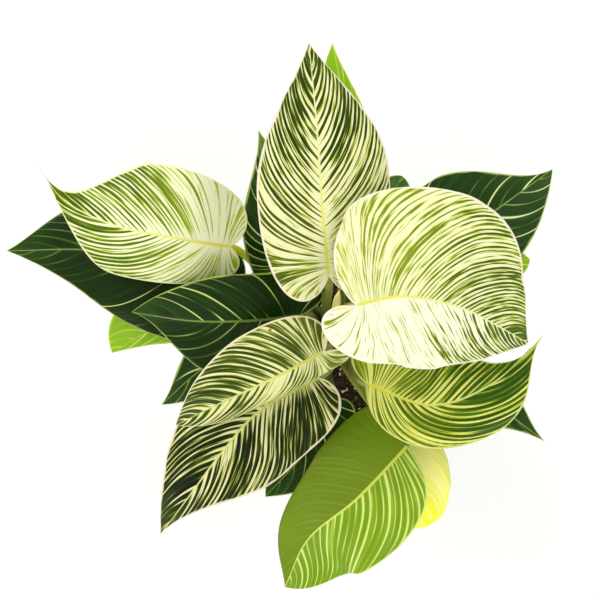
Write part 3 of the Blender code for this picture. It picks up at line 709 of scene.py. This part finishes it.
def streak_level(add, look, across, vein, tipward, off_midrib, right_half):
    """How pale the blade is at each place, from 0 to 1: its share there, chance along the veins, and the
    even comb of the lines."""
    shares = []
    for foot, middle, tip in (look.left, look.right or look.left):
        foot, middle, tip = [NormalDist().inv_cdf(share) for share in (foot, middle, tip)]
        low = add("MapRange", tipward, 0.0, 0.5, foot, middle)
        high = add("MapRange", tipward, 0.5, 1.0, 0.0, tip - middle)
        shares.append(add("Math", low, high, operation="ADD"))
    pale = add("MapRange", right_half, 0.0, 1.0, *shares)
    halo = add("MapRange", tipward, 0.4, 0.9, look.halo, 0.0)
    halo = add("MapRange", off_midrib, 0.0, HALO_WIDTH, halo, 0.0)
    streak = add("Math", pale, halo, operation="ADD")
    for width, length, weight, detail in STREAKS:
        x = add("Math", across, look.stripe * width, operation="DIVIDE")
        y = add("Math", vein, look.dash * length, operation="DIVIDE")
        place = add("CombineXYZ", x, y, look.seed + STREAKS_APART * width)
        field = add("TexNoise", {"Vector": place, "Scale": 1.0, "Detail": detail})
        swing = 0.5 * weight / FIELD_SPREAD
        field = add("MapRange", field, 0.0, 1.0, -swing, swing)
        streak = add("Math", streak, field, operation="ADD")
    wander = add("Math", field, COMB_WANDER, operation="MULTIPLY")
    comb = add("Math", across, 2 * math.pi / look.stripe, wander, operation="MULTIPLY_ADD")
    comb = add("Math", comb, operation="COSINE")
    comb = add("MapRange", comb, -1.0, 1.0, 0.0, 1.0)
    comb = add("Math", comb, look.sharp, operation="POWER")
    comb = add("MapRange", comb, 0.0, 1.0, -1.0, 1.0)
    strength = add("MapRange", tipward, 0.0, 1.0, look.regular, look.regular + look.comb)
    streak = add("Math", comb, strength, streak, operation="MULTIPLY_ADD")
    return add("MapRange", streak, -2.0, 2.0, 0.0, 1.0)


def leaf_tissue(name, look, foliage, dry_marks):
    """Living leaf under a thin wax: streaks along the veins have no green and stay cream, with a lime edge
    where one layer of cells keeps it. The wax gives a soft gloss, and the underside is paler and duller."""
    made, add = new_material(name)
    across, vein, tipward, off_midrib, off_margin, right_half, underside = [
        add("Attribute", take="Fac", attribute_name=key) for key in ATTRIBUTES]
    level = streak_level(add, look, across, vein, tipward, off_midrib, right_half)
    tissue, right_tissue = look.tissue, look.right_tissue or look.tissue
    left, right = [set_stops(add("ValToRGB", level), (0.0, kind.deep), (0.35, kind.green),
                             (0.47, kind.lime), (0.59, kind.pale)) for kind in (tissue, right_tissue)]
    layers = [(right_half, right)]

    # Green turns lime at the foot, lighter at the tip, and deeper in clouds
    place = add("TexCoord", take="Object")
    clouds = add("TexNoise", {"Vector": place, "Scale": LEAF_CLOUDS, "Detail": 1.5})
    green_only = add("MapRange", level, 0.40, 0.50, 1.0, 0.0)
    for where, start, end, most, code in ((tipward, 0.45, 0.05, look.fresh, tissue.lime),
                                          (tipward, 0.78, 1.0, 0.6, tissue.tip),
                                          (clouds, 0.4, 0.66, 0.45, tissue.deep)):
        near = add("MapRange", where, start, end, 0.0, most)
        layers.append((add("Math", near, green_only, operation="MULTIPLY"), code))

    # The midrib, which narrows to the tip, and the margin, whose pale band has an uneven edge
    half_width = add("MapRange", tipward, 0.0, 1.0, *RIB_HALF_WIDTH)
    on_rib = add("Math", off_midrib, half_width, operation="DIVIDE")
    on_rib = add("MapRange", on_rib, 0.5, 1.25, 0.95, 0.0, interpolation_type="SMOOTHSTEP")
    rib = set_stops(add("ValToRGB", tipward), (0.05, tissue.rib_foot), (0.6, tissue.rib_tip))
    uneven = add("TexNoise", {"Vector": place, "Scale": MARGIN_STEPS, "Detail": 2.0})
    band = add("MapRange", uneven, 0.3, 0.7, 0.5 * look.band, 1.5 * look.band)
    fading = add("MapRange", tipward, 0.7, 1.0, 1.0, 0.3)
    band = add("Math", band, fading, operation="MULTIPLY")
    on_band = add("Math", off_margin, band, operation="DIVIDE")
    on_band = add("MapRange", on_band, 0.6, 1.2, 0.92, 0.0, interpolation_type="SMOOTHSTEP")
    margins = [(*linear(kind.margin), 1) for kind in (tissue, right_tissue)]
    margins = add("Mix", {0: right_half, 6: margins[0], 7: margins[1]}, take=2, data_type="RGBA")
    layers += [(on_rib, rib), (on_band, margins)]

    # Dry marks, and the underside
    flat = add("VectorMath", place, (1.0, 1.0, 0.0), operation="MULTIPLY")
    for (x, y), radius in dry_marks:
        away = add("VectorMath", flat, (x * MM, y * MM, 0.0), take="Value", operation="DISTANCE")
        layers.append((add("MapRange", away, 0.4 * radius * MM, radius * MM, 0.85, 0.0), DRY))
    layers.append((add("Math", underside, 0.5, operation="MULTIPLY"), UNDERSIDE))

    veins = add("Math", across, 2 * math.pi / FINE_VEIN_SPACING, operation="MULTIPLY")
    veins = add("Math", veins, operation="SINE")
    height = add("Math", veins, FINE_VEIN_HEIGHT, level, operation="MULTIPLY_ADD")
    rough = add("MapRange", level, 0.3, 0.6, 0.32, 0.42)
    return finish_material(made, left, layers, height, foliage.vein_relief, Roughness=rough, IOR=1.22,
                           Coat_Weight=foliage.gloss, Coat_Roughness=0.2)


def petiole_flesh(name, tissue):
    """Smooth waxy stalk: olive at its foot, yellower towards the blade, with fine darker streaks."""
    made, add = new_material(name)
    along = add("Attribute", take="Fac", attribute_name="share_along")
    colour = set_stops(add("ValToRGB", along), (0.1, tissue.petiole_foot), (0.92, tissue.petiole_top))
    place = add("TexCoord", take="Object")
    place = add("Mapping", {0: place, "Scale": PETIOLE_STREAKS})
    streaks = add("TexNoise", {"Vector": place, "Scale": 1.0, "Detail": 3.0})
    dark = add("MapRange", streaks, 0.45, 0.75, 0.0, 0.35)
    return finish_material(made, colour, [(dark, tissue.petiole_foot)], streaks, relief=0.25, Roughness=0.38,
                           Coat_Weight=0.1, Coat_Roughness=0.3)


def new_object(name, data):
    """An object in the scene."""
    made = bpy.data.objects.new(name, data)
    bpy.context.scene.collection.objects.link(made)
    return made


def new_tree(name, inputs):
    """A Geometry Nodes tree with a geometry in and out and the given named inputs, the function that adds
    nodes to it, and what it is given."""
    tree = bpy.data.node_groups.new(name, "GeometryNodeTree")
    for side in ("INPUT", "OUTPUT"):
        tree.interface.new_socket("Geometry", in_out=side, socket_type="NodeSocketGeometry")
    for label, kind in inputs.items():
        tree.interface.new_socket(label, in_out="INPUT", socket_type="NodeSocket" + kind)
    return tree, partial(add_node, tree), tree.nodes.new("NodeGroupInput").outputs


def end_tree(tree, geometry, material):
    """Ends a tree with its instances made real and its material set."""
    whole = add_node(tree, "GeometryNodeRealizeInstances", geometry)
    painted = add_node(tree, "GeometryNodeSetMaterial", {"Geometry": whole, "Material": material})
    add_node(tree, "NodeGroupOutput", painted)
    return tree


def grown(name, base, tree, values):
    """The plain mesh object that a tree grows from a base mesh, with the tree's inputs set by label."""
    holder = new_object(name + "_base", base)
    modifier = holder.modifiers.new("grow", "NODES")
    modifier.node_group = tree
    for item in tree.interface.items_tree:
        if item.in_out == "INPUT" and item.name in values:
            modifier[item.identifier] = values[item.name]
    bpy.context.view_layer.update()
    graph = bpy.context.evaluated_depsgraph_get()
    mesh = bpy.data.meshes.new_from_object(holder.evaluated_get(graph))
    bpy.data.objects.remove(holder)
    return new_object(name, mesh)


def tube_tree():
    """Grows a round skin along a line whose points carry their own radius."""
    found = bpy.data.node_groups.get("skin_along_line")
    if found:
        return found
    tree, add, given = new_tree("skin_along_line", {"Sides": "Int", "Material": "Material"})
    line = add("GeometryNodeMeshToCurve", given["Geometry"])
    section = add("GeometryNodeCurvePrimitiveCircle", {"Resolution": given["Sides"], "Radius": 1.0})
    radius = add("GeometryNodeInputNamedAttribute", {"Name": "thickness"}, data_type="FLOAT")
    skin = add("GeometryNodeCurveToMesh", {"Curve": line, "Profile Curve": section, "Scale": radius,
                                           "Fill Caps": True})
    smooth = add("GeometryNodeSetShadeSmooth", skin)
    return end_tree(tree, smooth, given["Material"])


def declare(piece, slot, *nodes):
    """Tells the frame what a finished piece rides on and stands for; the slot for its finish is not used."""
    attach(piece, BODY)
    if nodes:
        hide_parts(*nodes)


def make_piece(mesh, material, slot, *nodes):
    mesh.materials.append(material)
    declare(new_object(mesh.name, mesh), slot, *nodes)


def make_leaf(plant_leaf):
    """One leaf piece: its blade, and its petiole and midrib grown along their line."""
    foliage = bpy.context.scene.philodendron_foliage
    name = plant_leaf.name.replace("leaf_", "", 1) + "_leaf"
    look = LOOKS[plant_leaf.name]
    rib = Midrib(plant_leaf.midrib)
    piece = new_object(name, blade_mesh(plant_leaf, rib, foliage.blade_thickness / MM))
    dry_marks = DRY_MARKS.get(plant_leaf.name, ())
    piece.data.materials.append(leaf_tissue(name + "_tissue", look, foliage, dry_marks))
    places, radii, shares = petiole_route(plant_leaf, rib)
    steps = [(i, i + 1) for i in range(len(places) - 1)]
    line = new_mesh(name + "_line", places, steps, [], {"thickness": radii * MM, "share_along": shares})
    flesh = petiole_flesh(name + "_petiole", look.tissue)
    stalk = grown(name + "_stalk", line, tube_tree(), {"Sides": foliage.petiole_sides, "Material": flesh})
    with bpy.context.temp_override(active_object=piece, object=piece, selected_objects=[piece, stalk],
                                   selected_editable_objects=[piece, stalk]):
        bpy.ops.object.join()
    declare(piece, look.tissue.slot, plant_leaf.name)


def make_leaves(*slots):
    """Makes each leaf whose finish is one of the given slots."""
    for plant_leaf in LEAVES:
        if LOOKS[plant_leaf.name].tissue.slot in slots:
            make_leaf(plant_leaf)
    return {"FINISHED"}


def turned_mesh(name, profile, steps, bumps=None):
    """A solid of revolution from (radius, height) in mm, from the axis on top round to the axis below.
    bumps gives how far out each point moves, from its place."""
    profile = np.array(profile, float)
    grid = ring(np.linspace(0, 2 * math.pi, steps + 1), profile[:, :1], profile[:, 1:])
    grid[:, -1] = grid[:, 0]
    if bumps:
        grid = bumps(grid)
    return welded_mesh(name, grid.reshape(-1, 3), grid_faces(numbered(*grid.shape[:2]), False))


def rounded(points, radius, steps=5, most=0.45):
    """A profile with its inner corners rounded off by a given radius, or by most of a short side."""
    points = [np.array(p, float) for p in points]
    smooth = [points[0]]
    for before, corner, after in zip(points, points[1:], points[2:]):
        reach = min(radius, most * np.linalg.norm(corner - before), most * np.linalg.norm(after - corner))
        start = corner + reach * unit(before - corner)
        end = corner + reach * unit(after - corner)
        for t in np.linspace(0, 1, steps + 1):
            smooth.append((1 - t) ** 2 * start + 2 * t * (1 - t) * corner + t * t * end)
    smooth.append(points[-1])
    return np.array(smooth)


def finer(profile, longest):
    """A profile whose straight pieces are no longer than the given length."""
    points = [profile[0]]
    for a, b in zip(profile, profile[1:]):
        pieces = max(1, math.ceil(np.linalg.norm(b - a) / longest))
        points += [a + (b - a) * k / pieces for k in range(1, pieces + 1)]
    return np.array(points)


def inner_radius(height):
    """The pot's inner radius at a height."""
    share = (height - POT_FLOOR) / (POT_HEIGHT - POT_FLOOR)
    return (POT_FOOT_RADIUS + (POT_TOP_RADIUS - POT_RIM_STEP - POT_FOOT_RADIUS) * share) - POT_WALL


def stoneware_glaze(name, pot):
    """Satin glaze on stoneware: warm grey with iron specks about a millimetre across, and the brown body
    showing through where the glaze runs thin on the lip."""
    made, add = new_material(name)
    place = add("TexCoord", take="Object")
    cloud = add("TexNoise", {"Vector": place, "Scale": GLAZE_CLOUDS, "Detail": 4.0})
    shade = add("MapRange", cloud, 0.3, 0.7, 0.0, 0.35)
    specks = add("TexVoronoi", {"Vector": place, "Scale": GLAZE_SPECKS}, take="Distance")
    chosen = add("TexNoise", {"Vector": place, "Scale": GLAZE_BARE, "Detail": 1.0})
    reach = add("MapRange", chosen, 0.58, 0.72, 0.0, 0.34)
    speck = add("Math", reach, specks, operation="SUBTRACT")
    speck = add("MapRange", speck, 0.0, 0.06, 0.0, 0.8)
    height = add("SeparateXYZ", place, take="Z")
    lip = add("MapRange", height, (POT_HEIGHT - LIP_WEAR) * MM, POT_HEIGHT * MM, 0.0, 0.7,
              interpolation_type="SMOOTHSTEP")
    layers = [(shade, "#b3aa9a"), (speck, (*pot.speckle, 1)), (lip, "#9a7f62")]
    rough = add("MapRange", cloud, 0.3, 0.7, 0.24, 0.4)
    wave = add("TexNoise", {"Vector": place, "Scale": GLAZE_WAVES, "Detail": 2.0})
    return finish_material(made, (*pot.glaze, 1), layers, wave, relief=0.2, depth=0.001, Roughness=rough,
                           Coat_Weight=0.3, Coat_Roughness=0.12)


def earth(name, dark, light, grain, roughness=0.95):
    """Dry plant matter or mineral: matt, uneven in colour, with a rough broken surface."""
    made, add = new_material(name)
    place = add("TexCoord", take="Object")
    coarse = add("TexNoise", {"Vector": place, "Scale": 1 / (grain * MM), "Detail": 4.0})
    colour = set_stops(add("ValToRGB", coarse), (0.3, dark), (0.7, light))
    return finish_material(made, colour, (), coarse, relief=0.6, depth=0.001, Roughness=roughness)


def grain_tree():
    """Scatters small broken grains over a surface and turns them about."""
    found = bpy.data.node_groups.get("scattered_grains")
    if found:
        return found
    tree, add, given = new_tree("scattered_grains", {
        "Density": "Float", "Smallest": "Vector", "Largest": "Vector", "Detail": "Int", "Seed": "Int",
        "Material": "Material"})
    points = add("GeometryNodeDistributePointsOnFaces", {
        "Mesh": given["Geometry"], "Density": given["Density"], "Seed": given["Seed"]})
    ball = add("GeometryNodeMeshIcoSphere", {"Radius": 1.0, "Subdivisions": given["Detail"]})
    crush = add("TexNoise", {"Scale": GRAIN_DENTS, "Detail": 1.0}, take="Color")
    crush = add("VectorMath", crush, (0.5, 0.5, 0.5), operation="SUBTRACT")
    crushed = add("GeometryNodeSetPosition", {"Geometry": ball, "Offset": crush})
    turn, size = [add("FunctionNodeRandomValue", {0: least, 1: most, "Seed": given["Seed"]},
                      data_type="FLOAT_VECTOR")
                  for least, most in ((NO_TURN, FULL_TURN), (given["Smallest"], given["Largest"]))]
    grains = add("GeometryNodeInstanceOnPoints", {"Points": points, "Instance": crushed, "Rotation": turn,
                                                  "Scale": size})
    return end_tree(tree, grains, given["Material"])


def soil_height(share):
    """The height of the potting mix at a share of the way from the middle to the pot's wall."""
    ripple = SOIL_RIPPLE * np.sin(SOIL_RIPPLES * share * math.pi)
    return SOIL_LEVEL - SOIL_EDGE_DROP * share ** 3 + ripple


class PHILODENDRON_OT_striped_leaves(bpy.types.Operator):
    """Makes the cream and green leaves with their petioles"""

    bl_idname = "philodendron.striped_leaves"
    bl_label = "Striped leaves"

    def execute(self, context):
        return make_leaves("leaf_cream_striped", "leaf_green_striped")


class PHILODENDRON_OT_dark_leaves(bpy.types.Operator):
    """Makes the dark green leaves with their petioles"""

    bl_idname = "philodendron.dark_leaves"
    bl_label = "Dark leaves"

    def execute(self, context):
        return make_leaves("leaf_dark_green")


class PHILODENDRON_OT_young_leaves(bpy.types.Operator):
    """Makes the lime and yellow leaves with their petioles"""

    bl_idname = "philodendron.young_leaves"
    bl_label = "Lime and yellow leaves"

    def execute(self, context):
        return make_leaves("leaf_lime", "leaf_yellow")


def spear_line(heights):
    """The rolled leaf's middles and radii at heights."""
    smooth = curve_through([[*place, radius] for place, radius in SPEAR_ROUTE], SPEAR_STEPS)
    middles = np.stack([np.interp(heights, smooth[:, 2], smooth[:, k]) for k in range(2)] + [heights], -1)
    return middles, np.interp(heights, smooth[:, 2], smooth[:, 3])


def rolled_tissue(name):
    """Unopened leaf: soft cream flesh with pale green pinstripes that wind with the roll."""
    made, add = new_material(name)
    around, along = [add("Attribute", take="Fac", attribute_name=key) for key in ("around", "share_along")]
    x = add("Math", around, PINSTRIPES[0], operation="MULTIPLY")
    y = add("Math", along, PINSTRIPES[1], operation="MULTIPLY")
    place = add("CombineXYZ", x, y)
    stripes = add("TexNoise", {"Vector": place, "Scale": 1.0, "Detail": 2.0})
    colour = set_stops(add("ValToRGB", stripes), (0.35, "#d3c860"), (0.46, "#f0e48c"), (0.6, "#faeca8"))
    fade = add("MapRange", along, 0.0, 0.45, 0.7, 0.0)
    return finish_material(made, colour, [(fade, "#a8b13c")], stripes, relief=0.2, Roughness=0.4,
                           Coat_Weight=0.15, Coat_Roughness=0.3)


class PHILODENDRON_OT_rolled_leaf(bpy.types.Operator):
    """Makes the new leaf, still rolled, with its winding seam"""

    bl_idname = "philodendron.rolled_leaf"
    bl_label = "Rolled leaf"

    def execute(self, context):
        share = np.linspace(0, 1, SPEAR_RINGS + 1)
        foot, top = SPEAR_ROUTE[0][0][2], SPEAR_ROUTE[-1][0][2]
        middles, radii = spear_line(foot + (top - foot) * share)
        radii = radii * np.minimum(1, (SPEAR_END - share) * SPEAR_ROUNDING) ** 0.5
        roll = np.linspace(0, 1, SPEAR_SIDES + 1)
        angles = 2 * math.pi * (roll[None, :] + SPEAR_TWIST * share[:, None])
        seam = SPEAR_SEAM * roll ** 2 * np.minimum(1, SPEAR_SEAM_GROWTH * share[:, None])
        spiral = radii[:, None] * (1 - seam)
        grid = middles[:, None, :] + ring(angles, spiral, 0.0)
        numbers = numbered(*grid.shape[:2])
        faces = grid_faces(numbers, True) + grid_faces(numbers[:, [-1, 0]], True)
        faces += [numbers[0].tolist()[::-1], numbers[-1].tolist()]
        values = {"around": np.tile(roll, len(share)), "share_along": np.repeat(share, len(roll))}
        mesh = welded_mesh("rolled_new_leaf", grid.reshape(-1, 3), faces, values)
        make_piece(mesh, rolled_tissue("rolled_leaf_tissue"), "new_leaf_cream", "new_leaf_rolled")
        return {"FINISHED"}


def dry_sheath(name):
    """Dead leaf sheath: brown paper with darker fibres along it."""
    made, add = new_material(name)
    place = add("TexCoord", take="Object")
    place = add("Mapping", {0: place, "Scale": SHEATH_GRAIN})
    fibres = add("TexNoise", {"Vector": place, "Scale": 1.0, "Detail": 4.0})
    colour = set_stops(add("ValToRGB", fibres), (0.3, "#2a1708"), (0.5, "#5c3a1b"), (0.72, "#9a7340"))
    return finish_material(made, colour, (), fibres, relief=0.6, depth=0.0006, Roughness=0.78)


class PHILODENDRON_OT_sheath(bpy.types.Operator):
    """Makes the torn papery sheath round the rolled leaf"""

    bl_idname = "philodendron.sheath"
    bl_label = "Papery sheath"

    def execute(self, context):
        t = np.linspace(0, 1, SHEATH_ROWS + 1)
        across = np.linspace(-1, 1, SHEATH_COLUMNS + 1)
        foot = STEM_TOP + GAP
        middles, radii = spear_line(foot + (SHEATH_TOP - foot) * t)
        radii = radii + GAP + SHEATH_FLARE * t * t
        ragged = np.array([noise.noise(Vector((0, 0, SHEATH_RAGS * s))) for s in t])
        wrap = (SHEATH_TIP_WRAP + (SHEATH_WRAP - SHEATH_TIP_WRAP) * (1 - t * t)) * (1 + SHEATH_TEAR * ragged)
        angles = np.radians(SHEATH_FACES + wrap[:, None] * across[None, :])
        step_across, step_along, layer = SHEATH_FIBRES
        fibre = np.array([[noise.noise(Vector((step_across * x, step_along * s, layer))) for x in across]
                          for s in t])
        reach = [radii[:, None] + skin + SHEATH_FIBRE * fibre * t[:, None] for skin in SHEATH_SKINS]
        skins = [middles[:, None, :] + ring(angles, radius, 0.0) for radius in reach]
        low, high = [numbered(*angles.shape, first=first) for first in (0, angles.size)]
        faces = grid_faces(low, False) + grid_faces(high, True)
        edges = ((np.s_[:, 0], True), (np.s_[:, -1], False), (np.s_[0], False), (np.s_[-1], True))
        for edge, turned_over in edges:
            faces += grid_faces(np.stack([low[edge], high[edge]], -1), turned_over)
        mesh = welded_mesh("papery_sheath", np.vstack([skin.reshape(-1, 3) for skin in skins]), faces)
        tidy = bmesh.new()
        tidy.from_mesh(mesh)
        bmesh.ops.recalc_face_normals(tidy, faces=tidy.faces[:])
        tidy.to_mesh(mesh)
        tidy.free()
        make_piece(mesh, dry_sheath("dry_sheath_paper"), "dry_sheath", "leaf_sheath")
        return {"FINISHED"}


def stem_bark(name):
    """Young stem: green skin turning corky brown at the rings where old leaves stood."""
    made, add = new_material(name)
    place = add("TexCoord", take="Object")
    cloud = add("TexNoise", {"Vector": place, "Scale": BARK_CLOUDS, "Detail": 4.0})
    height = add("SeparateXYZ", place, take="Z")
    rings = add("Math", height, 2 * math.pi / (STEM_RING_SPACING * MM), operation="MULTIPLY")
    rings = add("Math", rings, operation="SINE")
    corky = add("Math", rings, cloud, operation="ADD")
    corky = add("MapRange", corky, 0.4, 1.5, 0.0, 1.0)
    colour = set_stops(add("ValToRGB", corky), (0.1, "#5d6e24"), (0.6, "#7a6a3a"), (0.95, "#4b3620"))
    return finish_material(made, colour, (), cloud, relief=0.5, depth=0.0008, Roughness=0.6)


def roughened(amount, scale):
    """Moves each point in or out from the axis by smooth noise."""
    def move(grid):
        for place in grid.reshape(-1, 3):
            push = amount * noise.noise(Vector(place * scale))
            reach = math.hypot(place[0], place[1])
            if reach > 1e-6:
                place[:2] *= (reach + push) / reach
        grid[:, -1] = grid[:, 0]
        return grid
    return move


class PHILODENDRON_OT_stem(bpy.types.Operator):
    """Makes the short stem with its leaf scars"""

    bl_idname = "philodendron.stem"
    bl_label = "Stem"

    def execute(self, context):
        profile = [(0, STEM_TOP), (STEM_RADIUS * STEM_CAP_SHARE, STEM_TOP)]
        for i in range(int((STEM_TOP - STEM_FOOT) / STEM_RING_SPACING)):
            height = STEM_TOP - (i + STEM_SCAR) * STEM_RING_SPACING
            profile.append((STEM_RADIUS - STEM_RING_DEPTH, height))
            profile.append((STEM_RADIUS, height - STEM_SCAR * STEM_RING_SPACING))
        profile += [(STEM_RADIUS - STEM_RING_DEPTH, STEM_FOOT), (0, STEM_FOOT)]
        outline = finer(rounded(profile, radius=1.6), longest=1.5)
        mesh = turned_mesh("ringed_stem", outline, STEM_SIDES, roughened(amount=0.5, scale=0.18))
        make_piece(mesh, stem_bark("stem_bark"), "stem_green", "stem")
        return {"FINISHED"}


class PHILODENDRON_OT_potting_mix(bpy.types.Operator):
    """Makes the potting mix and scatters its crumbs, bark and perlite"""

    bl_idname = "philodendron.potting_mix"
    bl_label = "Potting mix"

    def execute(self, context):
        pot = context.scene.philodendron_pot
        reach = inner_radius(SOIL_LEVEL - SOIL_EDGE_DROP) - GAP
        shares = np.linspace(0, 1, SOIL_RINGS)
        crown = np.stack([reach * shares, soil_height(shares)], -1)
        floor = POT_FLOOR + GAP
        outline = np.vstack([crown, [(inner_radius(floor) - GAP, floor), (0, floor)]])

        def lumps(grid):
            for place in grid[1:SOIL_RINGS - 1].reshape(-1, 3):
                place[2] += LUMP_HEIGHT * noise.noise(Vector(place * LUMP_SCALE)) - LUMP_SINK
            grid[:, -1] = grid[:, 0]
            return grid

        bed = turned_mesh("soil_bed", outline, SOIL_SIDES, lumps)
        make_piece(bed, earth("damp_peat", "#1a110b", "#3d2a1c", 2.2), "potting_mix", "potting_soil")
        shares = np.linspace(*GRAINS_FROM_TO, GRAIN_RINGS)[:, None]
        angles = np.linspace(0, 2 * math.pi, GRAIN_SIDES + 1)
        grid = ring(angles, reach * shares, soil_height(shares) - GRAIN_SINK)
        faces = grid_faces(numbered(*grid.shape[:2]), False)
        kinds = [
            ("peat_crumbs", pot.crumb_density, (0.5, 0.5, 0.4), (1.5, 1.3, 1.1), 1,
             earth("dry_peat", "#2a1b10", "#5a4029", 1.6)),
            ("bark_chips", pot.bark_density, (1.2, 0.9, 0.5), (4.2, 2.4, 1.3), 1,
             earth("pine_bark", "#3a2415", "#8a6140", 1.8)),
            ("perlite_grains", pot.perlite_density, (0.7, 0.7, 0.6), (1.7, 1.6, 1.4), 2,
             earth("puffed_perlite", "#d8d3c8", "#f7f4ec", 0.8, 0.9)),
        ]
        for step, (name, density, smallest, largest, detail, material) in enumerate(kinds):
            surface = welded_mesh(name + "_ground", grid.reshape(-1, 3), faces)
            piece = grown(name, surface, grain_tree(), {
                "Density": density,
                "Smallest": [s * MM for s in smallest],
                "Largest": [s * MM for s in largest],
                "Detail": detail,
                "Seed": pot.seed + step,
                "Material": material,
            })
            declare(piece, "potting_mix")
        return {"FINISHED"}


class PHILODENDRON_OT_pot(bpy.types.Operator):
    """Turns the glazed pot"""

    bl_idname = "philodendron.pot"
    bl_label = "Pot"

    def execute(self, context):
        settings = context.scene.philodendron_pot
        rim_low = POT_HEIGHT - POT_RIM_HEIGHT
        slope = (POT_TOP_RADIUS - POT_RIM_STEP - POT_FOOT_RADIUS) / POT_HEIGHT
        profile = [
            (0, POT_FLOOR),
            (inner_radius(POT_FLOOR), POT_FLOOR),
            (inner_radius(POT_HEIGHT), POT_HEIGHT),
            (POT_TOP_RADIUS, POT_HEIGHT),
            (POT_TOP_RADIUS - 1, rim_low),
            (POT_FOOT_RADIUS + slope * rim_low, rim_low),
            (POT_FOOT_RADIUS, 0),
            (0, 0),
        ]
        outline = finer(rounded(profile, radius=1.5), longest=4.0)
        mesh = turned_mesh("glazed_pot", outline[::-1], settings.turned_steps)
        make_piece(mesh, stoneware_glaze("stoneware_glaze", settings), "pot_glaze", "pot")
        return {"FINISHED"}


class PHILODENDRON_OT_studio(bpy.types.Operator):
    """Sets the pale floor, the soft light and the camera straight overhead"""

    bl_idname = "philodendron.studio"
    bl_label = "Studio"

    def execute(self, context):
        studio = context.scene.philodendron_studio
        half = studio.floor_size / 2
        mesh = bpy.data.meshes.new("studio_floor")
        mesh.from_pydata([(-half, -half, 0), (half, -half, 0), (half, half, 0), (-half, half, 0)], [],
                         [(0, 1, 2, 3)])
        paper, add = new_material("white_paper")
        place = add("TexCoord", take="Object")
        tooth = add("TexNoise", {"Vector": place, "Scale": PAPER_TOOTH, "Detail": 2.0})
        shade = set_stops(add("ValToRGB", tooth), (0.0, "#fafafa"), (1.0, "#ffffff"))
        mesh.materials.append(finish_material(paper, shade, Roughness=0.9))
        floor = new_object("studio_floor", mesh)
        world = bpy.data.worlds.new("studio_white")
        world.use_nodes = True
        fill(world.node_tree.nodes["Background"], {"Strength": studio.sky, "Color": (1, 1, 1, 1)})
        context.scene.world = world
        for name, share, place in SOFTBOXES:
            data = bpy.data.lights.new(name, "AREA")
            data.shape = "DISK"
            data.size = SOFTBOX_SIZE
            data.energy = share * studio.key
            lamp = new_object(name, data)
            lamp.location = place
            lamp.rotation_euler = (Vector(LIT_PLACE) - lamp.location).to_track_quat("-Z", "Y").to_euler()
        data = bpy.data.cameras.new("overhead_camera")
        data.sensor_width = SENSOR
        data.lens = SENSOR * PHOTO_FOCAL / PHOTO_WIDTH
        data.clip_end = 30.0
        camera = new_object("overhead_camera", data)
        camera.location = (studio.camera_x, studio.camera_y, studio.camera_height)
        context.scene.camera = camera
        context.scene.view_settings.view_transform = "Standard"
        return {"FINISHED"}


class PHILODENDRON_PT_pieces(bpy.types.Panel):
    """Lists the plant's pieces and their settings"""

    bl_label = "Philodendron"
    bl_space_type = "VIEW_3D"
    bl_region_type = "UI"
    bl_category = "Philodendron"

    def draw(self, context):
        for operator in OPERATORS:
            self.layout.operator(operator.bl_idname)
        for key in GROUPS:
            group = getattr(context.scene, key)
            box = self.layout.box()
            for name in group.__annotations__:
                box.prop(group, name)


OPERATORS = (
    PHILODENDRON_OT_striped_leaves,
    PHILODENDRON_OT_dark_leaves,
    PHILODENDRON_OT_young_leaves,
    PHILODENDRON_OT_rolled_leaf,
    PHILODENDRON_OT_sheath,
    PHILODENDRON_OT_stem,
    PHILODENDRON_OT_potting_mix,
    PHILODENDRON_OT_pot,
    PHILODENDRON_OT_studio,
)
GROUPS = {
    "philodendron_foliage": FoliageSettings,
    "philodendron_pot": PotSettings,
    "philodendron_studio": StudioSettings,
}


def register():
    """Adds the settings, the operators and the panel."""
    for key, group in GROUPS.items():
        bpy.utils.register_class(group)
        setattr(bpy.types.Scene, key, PointerProperty(type=group))
    for operator in OPERATORS:
        bpy.utils.register_class(operator)
    bpy.utils.register_class(PHILODENDRON_PT_pieces)


def unregister():
    """Takes them away again."""
    bpy.utils.unregister_class(PHILODENDRON_PT_pieces)
    for operator in reversed(OPERATORS):
        bpy.utils.unregister_class(operator)
    for key, group in GROUPS.items():
        delattr(bpy.types.Scene, key)
        bpy.utils.unregister_class(group)


def main():
    """Makes all pieces in order."""
    register()
    bpy.ops.philodendron.pot()
    bpy.ops.philodendron.potting_mix()
    bpy.ops.philodendron.stem()
    bpy.ops.philodendron.rolled_leaf()
    bpy.ops.philodendron.sheath()
    bpy.ops.philodendron.striped_leaves()
    bpy.ops.philodendron.dark_leaves()
    bpy.ops.philodendron.young_leaves()
    bpy.ops.philodendron.studio()


if __name__ == "__main__":
    main()
